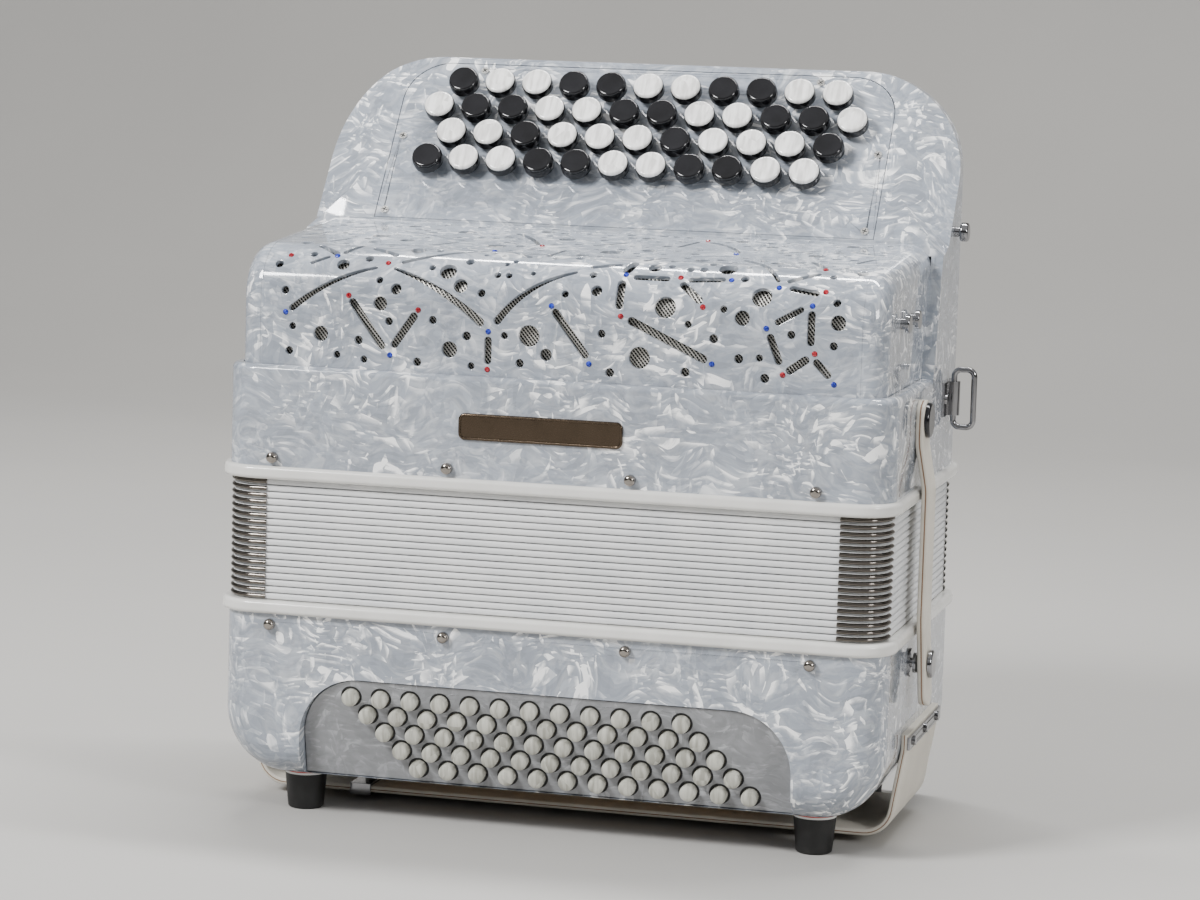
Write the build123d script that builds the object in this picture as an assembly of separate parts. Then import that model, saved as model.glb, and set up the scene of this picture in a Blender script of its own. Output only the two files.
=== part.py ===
from build123d import *
import os
from math import cos, degrees, radians, sin, tan

# A chromatic button accordion that stands on the feet of its bass end.
# +X runs along both button boards towards the end that is uppermost in playing, -Y is the front,
# and +Z runs from the bass half to the treble half, which is the way the bellows opens.
# The origin is on the floor, below the middle of the instrument. Everything is in millimetres.

# Whole body
WIDTH = 310.0
DEPTH = 172.0
CORNER_R = 16.0
WALL = 5.0
FRONT_Y = -DEPTH / 2
BACK_Y = DEPTH / 2
END_X = WIDTH / 2

# Heights above the floor
BASE_Z = 19.0
BASS_TOP = 95.0
BEAD_H = 6.0
BELLOWS_Z0 = BASS_TOP + BEAD_H
BELLOWS_H = 56.0
BELLOWS_Z1 = BELLOWS_Z0 + BELLOWS_H
TREBLE_Z = BELLOWS_Z1 + BEAD_H
LIP_Z = 209.0
SHELF_Z = 270.0
TOP_Z = 346.0
BASE_CORNER_R = 30.0
TOP_CORNER_R = 50.0

# Treble button board: a plane that leans back, hinged in thought on the line where it meets the shelf
BOARD_LEAN = 37.0
BOARD_Y = 26.5
BOARD = Plane(
    origin=(0, BOARD_Y, SHELF_Z),
    x_dir=(1, 0, 0),
    z_dir=(0, -cos(radians(BOARD_LEAN)), sin(radians(BOARD_LEAN))),
)
STEP_Y = 11.0
BOARD_TOP_Y = 83.0
CREASE_X = 131.0
CREASE_S = 24.0
WING_FALL = 14.0

# Treble buttons
TREBLE_PITCH = 18.5
TREBLE_ROW_STEP = 15.1
TREBLE_TOP_ROW_S = 76.5
TREBLE_FIELD_X = 2.0
CAP_R = 7.1
CAP_H = 4.1
COLLAR_R = 7.4
COLLAR_H = 1.6
CAP_LIFT = 3.8
TREBLE_HOLE_R = 2.66
TREBLE_STEM_R = 2.6

# Bass button board
BASS_PITCH = 14.12
BASS_ROW_STEP = 8.2
BASS_ROW_SHIFT = 7.7
BASS_FIRST_X = -91.0
BASS_FIRST_Z = 59.0
BASS_HOLE_R = 4.6
BASS_BUTTON_R = 3.8
BASS_BUTTON_OUT = 5.5
BASS_COLUMNS = 12
BASS_ROWS = 5
RECESS_HALF = 115.0
RECESS_TOP_Z = 67.0
RECESS_R = 28.0
RECESS_LEAN = 12.0
RECESS_EDGE = 1.0
PANEL_T = 3.0

# Running and fitting gaps
GAP = 0.4


def box(x0, x1, y0, y1, z0, z1):
    """A block between two corners."""
    return Pos((x0 + x1) / 2, (y0 + y1) / 2, (z0 + z1) / 2) * Box(x1 - x0, y1 - y0, z1 - z0)


def disc(x, y, z0, z1, r0, r1=None):
    """A vertical cylinder, or a cone where the two radii differ."""
    place = Pos(x, y, (z0 + z1) / 2)
    if r1 is None:
        return place * Cylinder(r0, z1 - z0)
    return place * Cone(r0, r1, z1 - z0)


def ring_block(inset_out, inset_in, z0, z1, radius=CORNER_R):
    """A rounded rectangular ring that follows the body's plan, between two insets from its outline."""
    outer = RectangleRounded(WIDTH - 2 * inset_out, DEPTH - 2 * inset_out, max(radius - inset_out, 1.0))
    inner = RectangleRounded(WIDTH - 2 * inset_in, DEPTH - 2 * inset_in, max(radius - inset_in, 1.0))
    return Pos(0, 0, z0) * extrude(outer - inner, z1 - z0)


def plan_block(inset, z0, z1):
    """A solid block with the body's rounded plan."""
    plan = RectangleRounded(WIDTH - 2 * inset, DEPTH - 2 * inset, max(CORNER_R - inset, 1.0))
    return Pos(0, 0, z0) * extrude(plan, z1 - z0)


def side_prism(points, half):
    """A prism along X from a closed outline of (y, z) points."""
    face = Plane.YZ * make_face(Polyline(*points, close=True))
    return Pos(-half, 0, 0) * extrude(face, 2 * half, dir=(1, 0, 0))


def front_prism(face, y0, y1):
    """A prism along Y from a face drawn in X and Z."""
    flat = Plane((0, y0, 0), x_dir=(1, 0, 0), z_dir=(0, -1, 0)) * face
    return extrude(flat, y1 - y0, dir=(0, 1, 0))


def on_board(x, s, height, shape):
    """Place a shape on the treble button board, s up the slope and height above it."""
    return BOARD * Pos(x, s, height) * shape


def axial_x(x0, x1, y, z, radius):
    """A cylinder along X."""
    return Pos((x0 + x1) / 2, y, z) * Rot(0, 90, 0) * Cylinder(radius, x1 - x0)


def board_y(z):
    """How far back the treble button board is at a height."""
    return BOARD_Y + (z - SHELF_Z) * tan(radians(BOARD_LEAN))


def half_space(point, normal):
    """A very large block on the side of a plane that its normal points to."""
    reach = 4 * WIDTH
    return Plane(origin=point, z_dir=normal) * Pos(0, 0, reach / 2) * Box(reach, reach, reach)


def plane_normal(a, b, c, towards):
    """The unit normal of the plane through three points, on the side of a fourth."""
    a, b, c, towards = Vector(*a), Vector(*b), Vector(*c), Vector(*towards)
    normal = (b - a).cross(c - a).normalized()
    if normal.dot(towards - a) < 0:
        normal = normal * -1
    return (normal.X, normal.Y, normal.Z)


# Bellows
BEAD_OUT = 3.0
FRAME_IN = 14.0
BELLOWS_INSET = 1.5
BELLOWS_FOLD = 21.0
BELLOWS_PARTS = 3
PLEATS = 18
CLIP_LEG_FRONT = 20.0
CLIP_LEG_SIDE = 16.0
CLIP_T = 1.0

# Grille cover, worked out along its outer profile from the lip upwards
COVER_T = 2.5
COVER_GAP = 0.5
COVER_Y = FRONT_Y + WALL + COVER_GAP
COVER_HALF = END_X - WALL - COVER_GAP
COVER_BEND_R = 24.0
COVER_CORNER_R = 10.5
COVER_REACH = 8.0
SHELF_SLOPE = 4.0
STONE_R = 1.4

# Fittings
PIN_X = (-130.0, -47.0, 38.0, 122.0)
PIN_DOME_R = 2.6
PIN_SHANK_R = 1.2
PIN_OFFSET = 4.0
PIN_HEAD_H = 3.5
FOOT_X = 121.0
FOOT_Y = 58.0
FOOT_TOP_R = 9.8
FOOT_BASE_R = 8.2
WASHER_H = 2.4
STRAP_Y = -23.5
STRAP_HALF_W = 8.5
STRAP_T = 4.0
STRAP_TOP_Z = 203.0
STRAP_END_Z = 64.0
SNAP_Z = 83.0
STRAP_PIN_Z = 194.0
HAND_Y0 = -37.0
HAND_Y1 = 43.0
HAND_T = 3.0
HAND_LOW_Z = 4.0
HAND_END_Z = 52.0
STRIP_T = 1.2
STRIP_SCREWS = (-27.0, 3.0, 33.0)
SLIDER_X = -101.0
RING_Y = 48.0
RING_AXIS_X = END_X + 3.6
RING_BAR_X = END_X + 13.0
RING_Z0 = 183.0
RING_Z1 = 210.0
WIRE_R = 1.4
WIRE_GAP = 0.06
STUD_Y = 52.0
STUD_Z = 274.0
SWITCH_Z = 239.0
SWITCH_YS = (-46.0, -22.0)
SWITCH_R = 4.2
AIR_X = 110.0
AIR_Z = 48.0
AIR_R = 6.0
AIR_OUT = 3.2

# Inside
PALLET_H = 4.0
PALLET_Y = -62.0
PALLET_STEP = 18.0
LEVER_T = 1.4
GUIDE_DEPTH = 22.0
BASS_PIN_R = 1.3
LEDGE_T = 4.0
LEDGE_W = 0.9
HATCH_X = 96.0
HATCH_Y = 45.0
HATCH_T = 3.0
SLIT = 0.1
SOUNDBOARD_T = 5.0
BLOCK_HALF_X = 122.0
BLOCK_T = 16.0
BLOCK_H = 24.0
BLOCK_Y = 26.0
REED_COUNT = 12
REED_T = 1.2


# ---------------------------------------------------------------- treble half

def treble_body():
    """The outer form of the treble casing: band, spine, leaning board and the wings at its ends."""
    board_top_z = SHELF_Z + (BOARD_TOP_Y - BOARD_Y) / tan(radians(BOARD_LEAN))
    profile = [
        (FRONT_Y, TREBLE_Z),
        (FRONT_Y, LIP_Z),
        (STEP_Y, LIP_Z),
        (BOARD_Y, SHELF_Z),
        (BOARD_TOP_Y, board_top_z),
        (BACK_Y, TOP_Z),
        (BACK_Y, TREBLE_Z),
    ]
    height = 2 * (TOP_Z - TREBLE_Z)
    outline = Pos(0, TOP_Z - height / 2) * RectangleRounded(WIDTH, height, TOP_CORNER_R)
    body = side_prism(profile, END_X)
    body = body & front_prism(outline, FRONT_Y, BACK_Y) & plan_block(0, TREBLE_Z, TOP_Z)
    crease_z = SHELF_Z + CREASE_S * cos(radians(BOARD_LEAN))
    foot_z = SHELF_Z - 2
    for side in (1, -1):
        crease = (side * CREASE_X, board_y(crease_z), crease_z)
        crease_top = (side * CREASE_X, board_y(TOP_Z), TOP_Z)
        crease_foot = (side * (END_X - WALL), board_y(foot_z), foot_z)
        edge = (side * END_X, board_y(crease_z) + WING_FALL, crease_z)
        edge_foot = (side * END_X, board_y(foot_z) + WING_FALL, foot_z)
        ahead = (side * END_X, 4 * FRONT_Y, crease_z)
        wing = half_space(crease, plane_normal(crease, edge, crease_top, ahead))
        flare = half_space(crease, plane_normal(crease, crease_foot, edge_foot, ahead))
        body = body - (wing & flare)
    lip = [e for e in body.edges() if abs(e.center().Z - LIP_Z) < 0.01 and e.center().Y < STEP_Y - 1]
    return fillet(lip, 3.0)


# Plate round the treble buttons
PLATE_HALF = 121.5
PLATE_S0 = 0.6
PLATE_S1 = 91.5
PLATE_R = 22.0
PLATE_T = 2.0
PLATE_SCREWS = ((117.0, 4.5), (117.0, 47.5), (83.5, 87.5))
STEM_DEPTH = 4.4
FLANGE_R = 4.0
LEVER_REACH = 8.4


def plate_outline(gap):
    """The outline of the button plate: square below, rounded above."""
    height = PLATE_S1 - PLATE_S0 + 2 * gap
    middle = (PLATE_S0 + PLATE_S1) / 2
    face = Pos(0, middle) * RectangleRounded(2 * (PLATE_HALF + gap), height, PLATE_R)
    lower = Pos(0, middle - height / 4) * Rectangle(2 * (PLATE_HALF + gap), height / 2)
    return face + lower


def treble_casing():
    """The treble casing: an open shell with a band, two end walls, a back and the button board."""
    inner_y = BACK_Y - WALL
    board_back = WALL / cos(radians(BOARD_LEAN))
    low_z = SHELF_Z - 6
    high_z = SHELF_Z + (inner_y - board_back - BOARD_Y) / tan(radians(BOARD_LEAN))
    hollow = [(board_y(low_z) + board_back, low_z - 1), (inner_y, low_z - 1), (inner_y, high_z)]
    hollow.insert(0, (board_y(low_z) + board_back, low_z))
    shell = treble_body() - plan_block(WALL, TREBLE_Z - 1, low_z)
    shell = shell - side_prism(hollow, CREASE_X + 1)
    shell = shell - on_board(0, 0, -PLATE_T - 0.1, extrude(plate_outline(0.3), PLATE_T + 5))
    opening = Pos(0, 46.5) * RectangleRounded(2 * PLATE_HALF - 16, 76, 14)
    shell = shell - on_board(0, 0, -2 * WALL, extrude(opening, 2 * WALL))
    for x in PIN_X:
        shell = shell - pin_hole(x, -1, TREBLE_Z + PIN_OFFSET) - pin_hole(x, 1, TREBLE_Z + PIN_OFFSET)
    return shell


def treble_rows():
    """For each row from the top, the x of its first button, its s, and how many buttons it has."""
    rows = []
    counts = (11, 12, 11, 11)
    for index, count in enumerate(counts):
        first = TREBLE_FIELD_X - 5 * TREBLE_PITCH
        if index % 2 == 1:
            first -= TREBLE_PITCH / 2
        rows.append((first, TREBLE_TOP_ROW_S - index * TREBLE_ROW_STEP, count))
    return rows


# Colours of each row from the left: w is a white button and b is a black one
ROW_COLOURS = ("bwwbbwwbbww", "wbbwwbbwwbbw", "wwbwwwbwwwb", "bwwbbwwbbww")


def button_plate():
    """The plate round the treble buttons, with a hole for each stem."""
    plate = extrude(plate_outline(0.0), PLATE_T)
    holes = []
    for first, s, count in treble_rows():
        for index in range(count):
            x = first + index * TREBLE_PITCH
            holes.append(Pos(x, s, PLATE_T / 2) * Cylinder(TREBLE_HOLE_R, 3 * PLATE_T))
    for x, s in PLATE_SCREWS:
        for side in (1, -1):
            holes.append(Pos(side * x, s, PLATE_T / 2) * Cylinder(1.1, 3 * PLATE_T))
    return BOARD * Pos(0, 0, -PLATE_T) * (plate - holes)


def button_plate_screws():
    """Small screws that hold the button plate."""
    screws = []
    for x, s in PLATE_SCREWS:
        for side in (1, -1):
            head = Pos(side * x, s, 0.4) * Cylinder(1.9, 0.8)
            shank = Pos(side * x, s, -PLATE_T / 2) * Cylinder(1.0, PLATE_T)
            screws.append(BOARD * (head + shank))
    return Compound(screws)


def treble_button(x, s):
    """One treble button: cap on a collar, on a stem through the plate with a stop flange behind it."""
    collar_z = CAP_LIFT + COLLAR_H / 2
    cap_z = CAP_LIFT + COLLAR_H + CAP_H / 2
    cap = Pos(0, 0, cap_z) * Cylinder(CAP_R, CAP_H)
    cap = fillet(cap.edges().filter_by(GeomType.CIRCLE).sort_by(Axis.Z)[-1:], 1.2)
    collar = Pos(0, 0, collar_z) * Cylinder(COLLAR_R, COLLAR_H)
    stem = Pos(0, 0, (CAP_LIFT - STEM_DEPTH) / 2) * Cylinder(TREBLE_STEM_R, CAP_LIFT + STEM_DEPTH)
    flange = Pos(0, 0, -PLATE_T - 0.8) * Cylinder(FLANGE_R, 1.0)
    return on_board(x, s, 0, cap + collar + stem + flange)


def treble_buttons(row, colour):
    """The buttons of one colour in one row."""
    first, s, count = treble_rows()[row]
    buttons = []
    for index in range(count):
        if ROW_COLOURS[row][index] == colour:
            buttons.append(treble_button(first + index * TREBLE_PITCH, s))
    return Compound(buttons)


def cover_profile(inset):
    """The points and bend of the cover's side profile, moved inwards by inset."""
    slope = tan(radians(SHELF_SLOPE))
    y0 = COVER_Y + inset
    y1 = BOARD_Y - COVER_GAP
    top_z = SHELF_Z - 1.0 - inset / cos(radians(SHELF_SLOPE))
    return y0, y1, top_z - (y1 - y0) * slope, top_z


def cover_prism(inset, half, bottom, back):
    """A prism with the cover's side profile, its bend rounded, reaching back a little further."""
    y0, y1, corner_z, top_z = cover_profile(inset)
    rear = (y1 + back, top_z + back * tan(radians(SHELF_SLOPE)))
    bend = FilletPolyline((y0, bottom), (y0, corner_z), rear, radius=COVER_BEND_R - inset)
    rest = Polyline(rear, (STEP_Y - COVER_GAP + back, bottom), (y0, bottom))
    face = Plane.YZ * make_face(bend.edges() + rest.edges())
    return Pos(-half, 0, 0) * extrude(face, 2 * half, dir=(1, 0, 0))


def cover_block(inset, back):
    """The cover's outer or inner form, with its ends and front corners rounded."""
    bottom = LIP_Z - COVER_REACH - inset
    block = cover_prism(inset, COVER_HALF - inset, bottom, back)
    rim = []
    for edge in block.edges():
        middle = edge.center()
        if abs(abs(middle.X) - COVER_HALF + inset) < 0.01 and middle.Y < 0 and middle.Z > bottom + 1:
            rim.append(edge)
    return fillet(rim, COVER_CORNER_R - inset)


def cover_place(t):
    """The point on the cover's outer profile at arc length t above the lip, and its outward tilt."""
    y0, _, corner_z, _ = cover_profile(0)
    turn = radians(90 - SHELF_SLOPE)
    setback = COVER_BEND_R * tan(turn / 2)
    straight = corner_z - setback - LIP_Z
    arc = COVER_BEND_R * turn
    if t <= straight:
        return y0, LIP_Z + t, 0.0
    if t <= straight + arc:
        angle = (t - straight) / COVER_BEND_R
        y = y0 + COVER_BEND_R * (1 - cos(angle))
        return y, LIP_Z + straight + COVER_BEND_R * sin(angle), degrees(angle)
    run = t - straight - arc + setback
    slope = radians(SHELF_SLOPE)
    return y0 + run * cos(slope), corner_z + run * sin(slope), 90 - SHELF_SLOPE


def on_cover(x, t, shape):
    """Place a shape on the cover, its own Z outwards and its own Y up the profile."""
    y, z, tilt = cover_place(t)
    tilt = radians(tilt)
    place = Plane(origin=(x, y, z), x_dir=(1, 0, 0), z_dir=(0, -cos(tilt), sin(tilt)))
    return place * shape


# Openings of the grille: round holes (x, t, radius) and straight slots (x, t, length, turn)
GRILLE_ROUND = (
    (-117, 24, 3.4), (-88, 38, 3.4), (-58, 17, 3.4), (-12, 19, 4.4), (39, 14, 4.2), (-3, 13, 3.0),
    (52, 34, 3.8), (84, 31, 3.2), (97, 40, 4.0), (112, 20, 2.6), (131, 27, 2.6), (-52, 48, 3.2),
    (-80, 46, 3.2), (-105, 60, 2.8), (-30, 70, 3.0), (10, 84, 3.4), (60, 76, 3.0), (105, 66, 3.2),
    (-70, 96, 3.0), (35, 110, 3.2), (92, 104, 3.0), (-15, 118, 3.0),
)
GRILLE_SLOTS = (
    (-103, 36, 40, 28), (-56, 36, 46, -32), (-9, 36, 44, 34), (-90, 27, 22, -62), (-68, 25, 15, 62),
    (-32, 16, 8, 90), (-1, 29, 20, -50), (51, 22, 38, -27), (32, 42, 10, 88), (104, 26, 13, -78),
    (118, 37, 14, 24), (122, 25, 14, 88), (-40, 88, 34, 12), (20, 98, 30, -10), (70, 92, 34, 8),
    (-100, 84, 30, -12), (110, 88, 26, 14), (-62, 118, 40, 6), (60, 120, 36, -8),
)
STONES_RED = ((-97, 43), (-66, 36), (-32, 6), (30, 35), (70, 38), (121, 12), (106, 5), (128, 40))
STONES_BLUE = ((-127, 33), (-78, 13), (-31, 27), (-2, 37), (17, 12), (74, 11), (100, 28), (118, 35), (131, 4))


def grille_cover():
    """The pierced cover over the treble action, open below and behind."""
    cover = cover_block(0, 0) - cover_block(COVER_T, 8.0)
    cutters = []
    for x, t, radius in GRILLE_ROUND:
        cutters.append(on_cover(x, t, Cylinder(radius, 4 * COVER_T)))
    for x, t, length, turn in GRILLE_SLOTS:
        slot = extrude(SlotOverall(length, 2.2), 2 * COVER_T, both=True)
        cutters.append(on_cover(x, t, Rot(0, 0, turn) * slot))
    for x, t in STONES_RED + STONES_BLUE:
        cutters.append(on_cover(x, t, Cylinder(STONE_R + 0.05, 4 * COVER_T)))
    for y in SWITCH_YS:
        cutters.append(axial_x(COVER_HALF - 4 * COVER_T, COVER_HALF + 4, y, SWITCH_Z, 2.6))
    return cover - cutters


def grille_mesh():
    """The metal mesh sheet behind the openings of the cover."""
    outside = cover_prism(COVER_T + 0.1, COVER_HALF - 12, LIP_Z - 4, -2.0)
    inside = cover_prism(COVER_T + 0.6, COVER_HALF, LIP_Z - 5, 8.0)
    return outside - inside


def grille_stones(places):
    """Small round stones set in the cover."""
    stones = []
    for x, t in places:
        stone = Pos(0, 0, -COVER_T / 2 + 0.5) * Cylinder(STONE_R, COVER_T)
        stones.append(on_cover(x, t, fillet(stone.edges().sort_by(Axis.Z)[-1:], 0.5)))
    return Compound(stones)


def chin_switch(y):
    """A round switch on the end of the grille cover, on a stem with a stop flange inside."""
    cap = axial_x(COVER_HALF + 2.4, COVER_HALF + 4.4, y, SWITCH_Z, SWITCH_R)
    cap = fillet(cap.edges().filter_by(GeomType.CIRCLE).sort_by(Axis.X)[-1:], 0.6)
    stem = axial_x(COVER_HALF - 6, COVER_HALF + 2.4, y, SWITCH_Z, 2.54)
    return cap + stem + axial_x(COVER_HALF - COVER_T - 1.3, COVER_HALF - COVER_T - 0.3, y, SWITCH_Z, 4.2)


def name_plate():
    """A blank name plate on the band."""
    face = Pos(-4, 186.5) * RectangleRounded(76, 12, 3)
    return front_prism(face, FRONT_Y - 0.8, FRONT_Y)


def treble_pallets():
    """The pads that close the treble soundboard's holes, one for each button."""
    pads = []
    for row, (first, _, count) in enumerate(treble_rows()):
        for index in range(count):
            x = first + index * TREBLE_PITCH
            y = PALLET_Y + PALLET_STEP * row
            low = TREBLE_Z + SOUNDBOARD_T
            pads.append(box(x - 6, x + 6, y - 7, y + 7, low, low + PALLET_H))
    return Compound(pads)


def treble_levers():
    """The levers from the button stems to the pallets, side by side along X."""
    levers = []
    pallet_top = TREBLE_Z + SOUNDBOARD_T + PALLET_H
    for row, (first, s, count) in enumerate(treble_rows()):
        tip = BOARD.from_local_coords((0, s, -LEVER_REACH))
        y = PALLET_Y + PALLET_STEP * row
        line = Polyline((y, pallet_top), (y, 198), (44, 213), (tip.Y, tip.Z - 1))
        lever = Plane.YZ * trace(line, LEVER_T)
        for index in range(count):
            x = first + index * TREBLE_PITCH + 2.2 * (row - 1.5)
            levers.append(Pos(x, 0, 0) * extrude(lever, LEVER_T / 2, dir=(1, 0, 0), both=True))
    return Compound(levers)


def treble_soundboard():
    """The board the treble reed blocks hang from, with a slot under each pallet."""
    board = plan_block(WALL + GAP, TREBLE_Z, TREBLE_Z + SOUNDBOARD_T)
    holes = []
    for row, (first, _, count) in enumerate(treble_rows()):
        for index in range(count):
            place = Pos(first + index * TREBLE_PITCH, PALLET_Y + PALLET_STEP * row, TREBLE_Z)
            holes.append(place * Box(7, 8, 3 * SOUNDBOARD_T))
    return board - holes


# ------------------------------------------------------------------ bass half

def pin_hole(x, side, z):
    """The hole for a bellows pin through the front (-1) or back (1) wall."""
    place = Plane(origin=(x, side * (BACK_Y - WALL / 2), z), z_dir=(0, side, 0))
    return place * Cylinder(PIN_SHANK_R + 0.05, 2 * WALL)


def bellows_pins(z):
    """The round headed pins that hold the bellows frame to a casing, front and back."""
    pins = []
    for side in (-1, 1):
        for x in PIN_X:
            place = Plane(origin=(x, side * BACK_Y, z), z_dir=(0, side, 0))
            head = Pos(0, 0, PIN_HEAD_H / 2) * Cylinder(PIN_DOME_R, PIN_HEAD_H)
            head = fillet(head.edges().filter_by(GeomType.CIRCLE).sort_by(Axis.Z)[-1:], 1.8)
            pins.append(place * (head + Pos(0, 0, -WALL / 2) * Cylinder(PIN_SHANK_R, WALL)))
    return Compound(pins)


def bass_body():
    """The outer form of the bass casing, with its lower edges rounded."""
    body = box(-END_X, END_X, FRONT_Y, BACK_Y, BASE_Z, BASS_TOP)
    ends = [e for e in body.edges().filter_by(Axis.Y) if e.center().Z < BASE_Z + 1]
    body = fillet(ends, BASE_CORNER_R)
    front = [
        e for e in body.edges()
        if abs(abs(e.center().Y) - BACK_Y) < 0.01 and e.center().Z < BASS_TOP - 0.1
    ]
    return fillet(front, CORNER_R)


def recess_arch(grow):
    """The outline of the bass button recess, square below the casing."""
    height = 2 * (RECESS_TOP_Z - BASE_Z)
    return Pos(0, BASE_Z) * RectangleRounded(2 * (RECESS_HALF + grow), height + 2 * grow, RECESS_R + grow)


RECESS = Plane(
    origin=(0, FRONT_Y + RECESS_EDGE, RECESS_TOP_Z),
    x_dir=(1, 0, 0),
    z_dir=(0, -cos(radians(RECESS_LEAN)), -sin(radians(RECESS_LEAN))),
)
RECESS_FOOT_Z = BASE_Z + 1.2


def recess_slab(low, high):
    """Everything between two depths measured outwards from the recess floor."""
    return RECESS * Pos(0, 0, (low + high) / 2) * Box(400, 200, high - low)


def bass_casing():
    """The bass casing: a tray with an arched recess in front and an opening below."""
    body = bass_body()
    ledge = front_prism(recess_arch(WALL), FRONT_Y, FRONT_Y + 40) & recess_slab(-PANEL_T - LEDGE_T, 40)
    hollow = plan_block(WALL, BASE_Z + WALL, BASS_TOP + 1)
    corners = front_prism(inner_outline(), FRONT_Y, BACK_Y)
    body = body - ((hollow & corners) - ledge)
    above = box(-END_X, END_X, 2 * FRONT_Y, 0, RECESS_FOOT_Z, BASS_TOP)
    body = body - (front_prism(recess_arch(0), FRONT_Y - 1, FRONT_Y + 40) & recess_slab(-PANEL_T, 40) & above)
    window = front_prism(recess_arch(-LEDGE_W), FRONT_Y - 1, FRONT_Y + 40)
    body = body - (window & recess_slab(-PANEL_T - LEDGE_T - 1, 40) & above)
    body = body - Pos(0, 0, BASE_Z) * extrude(RectangleRounded(2 * HATCH_X, 2 * HATCH_Y, 8), HATCH_T)
    opening = RectangleRounded(2 * HATCH_X - 10, 2 * HATCH_Y - 10, 6)
    body = body - Pos(0, 0, BASE_Z) * extrude(opening, 2 * WALL)
    holes = [pin_hole(x, side, BASS_TOP - PIN_OFFSET - 1) for x in PIN_X for side in (-1, 1)]
    bore = Plane(origin=(AIR_X, BACK_Y, AIR_Z), z_dir=(0, 1, 0)) * Cylinder(AIR_R + 0.06, 4 * WALL)
    return body - holes - bore


def inner_outline():
    """The front outline of the bass casing's inside."""
    height = 2 * (BASS_TOP - BASE_Z)
    return Pos(0, BASS_TOP) * RectangleRounded(WIDTH - 2 * WALL, height - 2 * WALL, BASE_CORNER_R - WALL)


def bass_hatch():
    """The removable plate in the bottom of the bass casing, with its four screw holes."""
    plate = extrude(RectangleRounded(2 * (HATCH_X - GAP), 2 * (HATCH_Y - GAP), 8 - GAP), HATCH_T)
    holes = [Pos(x, y, 0) * Cylinder(1.55, 20) for x, y in hatch_screw_places()]
    return Pos(0, 0, BASE_Z) * (plate - holes)


def hatch_screw_places():
    """Where the four screws of the bottom plate are."""
    return [(sx * (HATCH_X - 2.6), sy * (HATCH_Y - 14)) for sx in (-1, 1) for sy in (-1, 1)]


def hatch_screws():
    """The screws of the bottom plate, as deep as the plate."""
    screws = []
    for x, y in hatch_screw_places():
        screws.append(disc(x, y, BASE_Z - 0.9, BASE_Z, 2.3) + disc(x, y, BASE_Z, BASE_Z + HATCH_T, 1.5))
    return screws


def bass_places(row):
    """The places of the buttons of one bass row on the recess floor."""
    first = BASS_FIRST_X + row * BASS_ROW_SHIFT
    up = (BASS_FIRST_Z - RECESS_TOP_Z) / cos(radians(RECESS_LEAN)) - row * BASS_ROW_STEP
    return [(first + index * BASS_PITCH, up) for index in range(BASS_COLUMNS)]


def pierced_panel(grow, depth, thick, radius, foot):
    """A flat panel parallel to the recess floor with a hole for every bass button."""
    panel = front_prism(recess_arch(grow), FRONT_Y - 20, FRONT_Y + 70) & recess_slab(depth - thick, depth)
    panel = panel & box(-END_X, END_X, -200, 200, foot, BASS_TOP)
    holes = []
    for row in range(BASS_ROWS):
        for x, up in bass_places(row):
            holes.append(RECESS * Pos(x, up, depth - thick / 2) * Cylinder(radius, 3 * thick))
    return panel - holes


def bass_button_board():
    """The pearl board in the recess with a hole for every bass button."""
    return pierced_panel(-GAP, 0, PANEL_T, BASS_HOLE_R, RECESS_FOOT_Z + GAP)


def bass_guide_board():
    """The inner board that guides the pins of the bass buttons."""
    board = pierced_panel(-LEDGE_T - 1, -GUIDE_DEPTH, PANEL_T, BASS_PIN_R + 0.06, BASE_Z + WALL + 1)
    return board & box(-END_X, END_X, FRONT_Y + WALL, 0, BASE_Z, BASS_TOP)


def bass_buttons(row):
    """The buttons of one bass row: domed head, stop flange and guide pin."""
    buttons = []
    for x, up in bass_places(row):
        head = Pos(0, 0, (BASS_BUTTON_OUT - 9) / 2) * Cylinder(BASS_BUTTON_R, BASS_BUTTON_OUT + 9)
        head = fillet(head.edges().filter_by(GeomType.CIRCLE).sort_by(Axis.Z)[-1:], 1.4)
        flange = Pos(0, 0, -PANEL_T - 0.9) * Cylinder(4.9, 1.2)
        pin = Pos(0, 0, -GUIDE_DEPTH + 4) * Cylinder(BASS_PIN_R, 18)
        buttons.append(RECESS * Pos(x, up, 0) * (head + flange + pin))
    return Compound(buttons)


def air_button():
    """The round air button in the back wall, with a stop flange inside."""
    head = Cylinder(AIR_R, AIR_OUT + WALL + 0.3)
    head = fillet(head.edges().filter_by(GeomType.CIRCLE).sort_by(Axis.Z)[-1:], 1.0)
    head = Pos(0, 0, (AIR_OUT - WALL - 0.3) / 2) * head
    flange = Pos(0, 0, -WALL - 0.8) * Cylinder(AIR_R + 1.5, 1.0)
    return Plane(origin=(AIR_X, BACK_Y, AIR_Z), z_dir=(0, 1, 0)) * (head + flange)


def bass_pallets():
    """The pads under the bass soundboard, in two rows."""
    pads = []
    for y in (20, 44):
        for index in range(REED_COUNT):
            x = (index - (REED_COUNT - 1) / 2) * 2 * BLOCK_HALF_X / REED_COUNT
            pads.append(box(x - 7, x + 7, y - 8, y + 8, BASS_TOP - SOUNDBOARD_T - 4, BASS_TOP - SOUNDBOARD_T))
    return Compound(pads)


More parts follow.
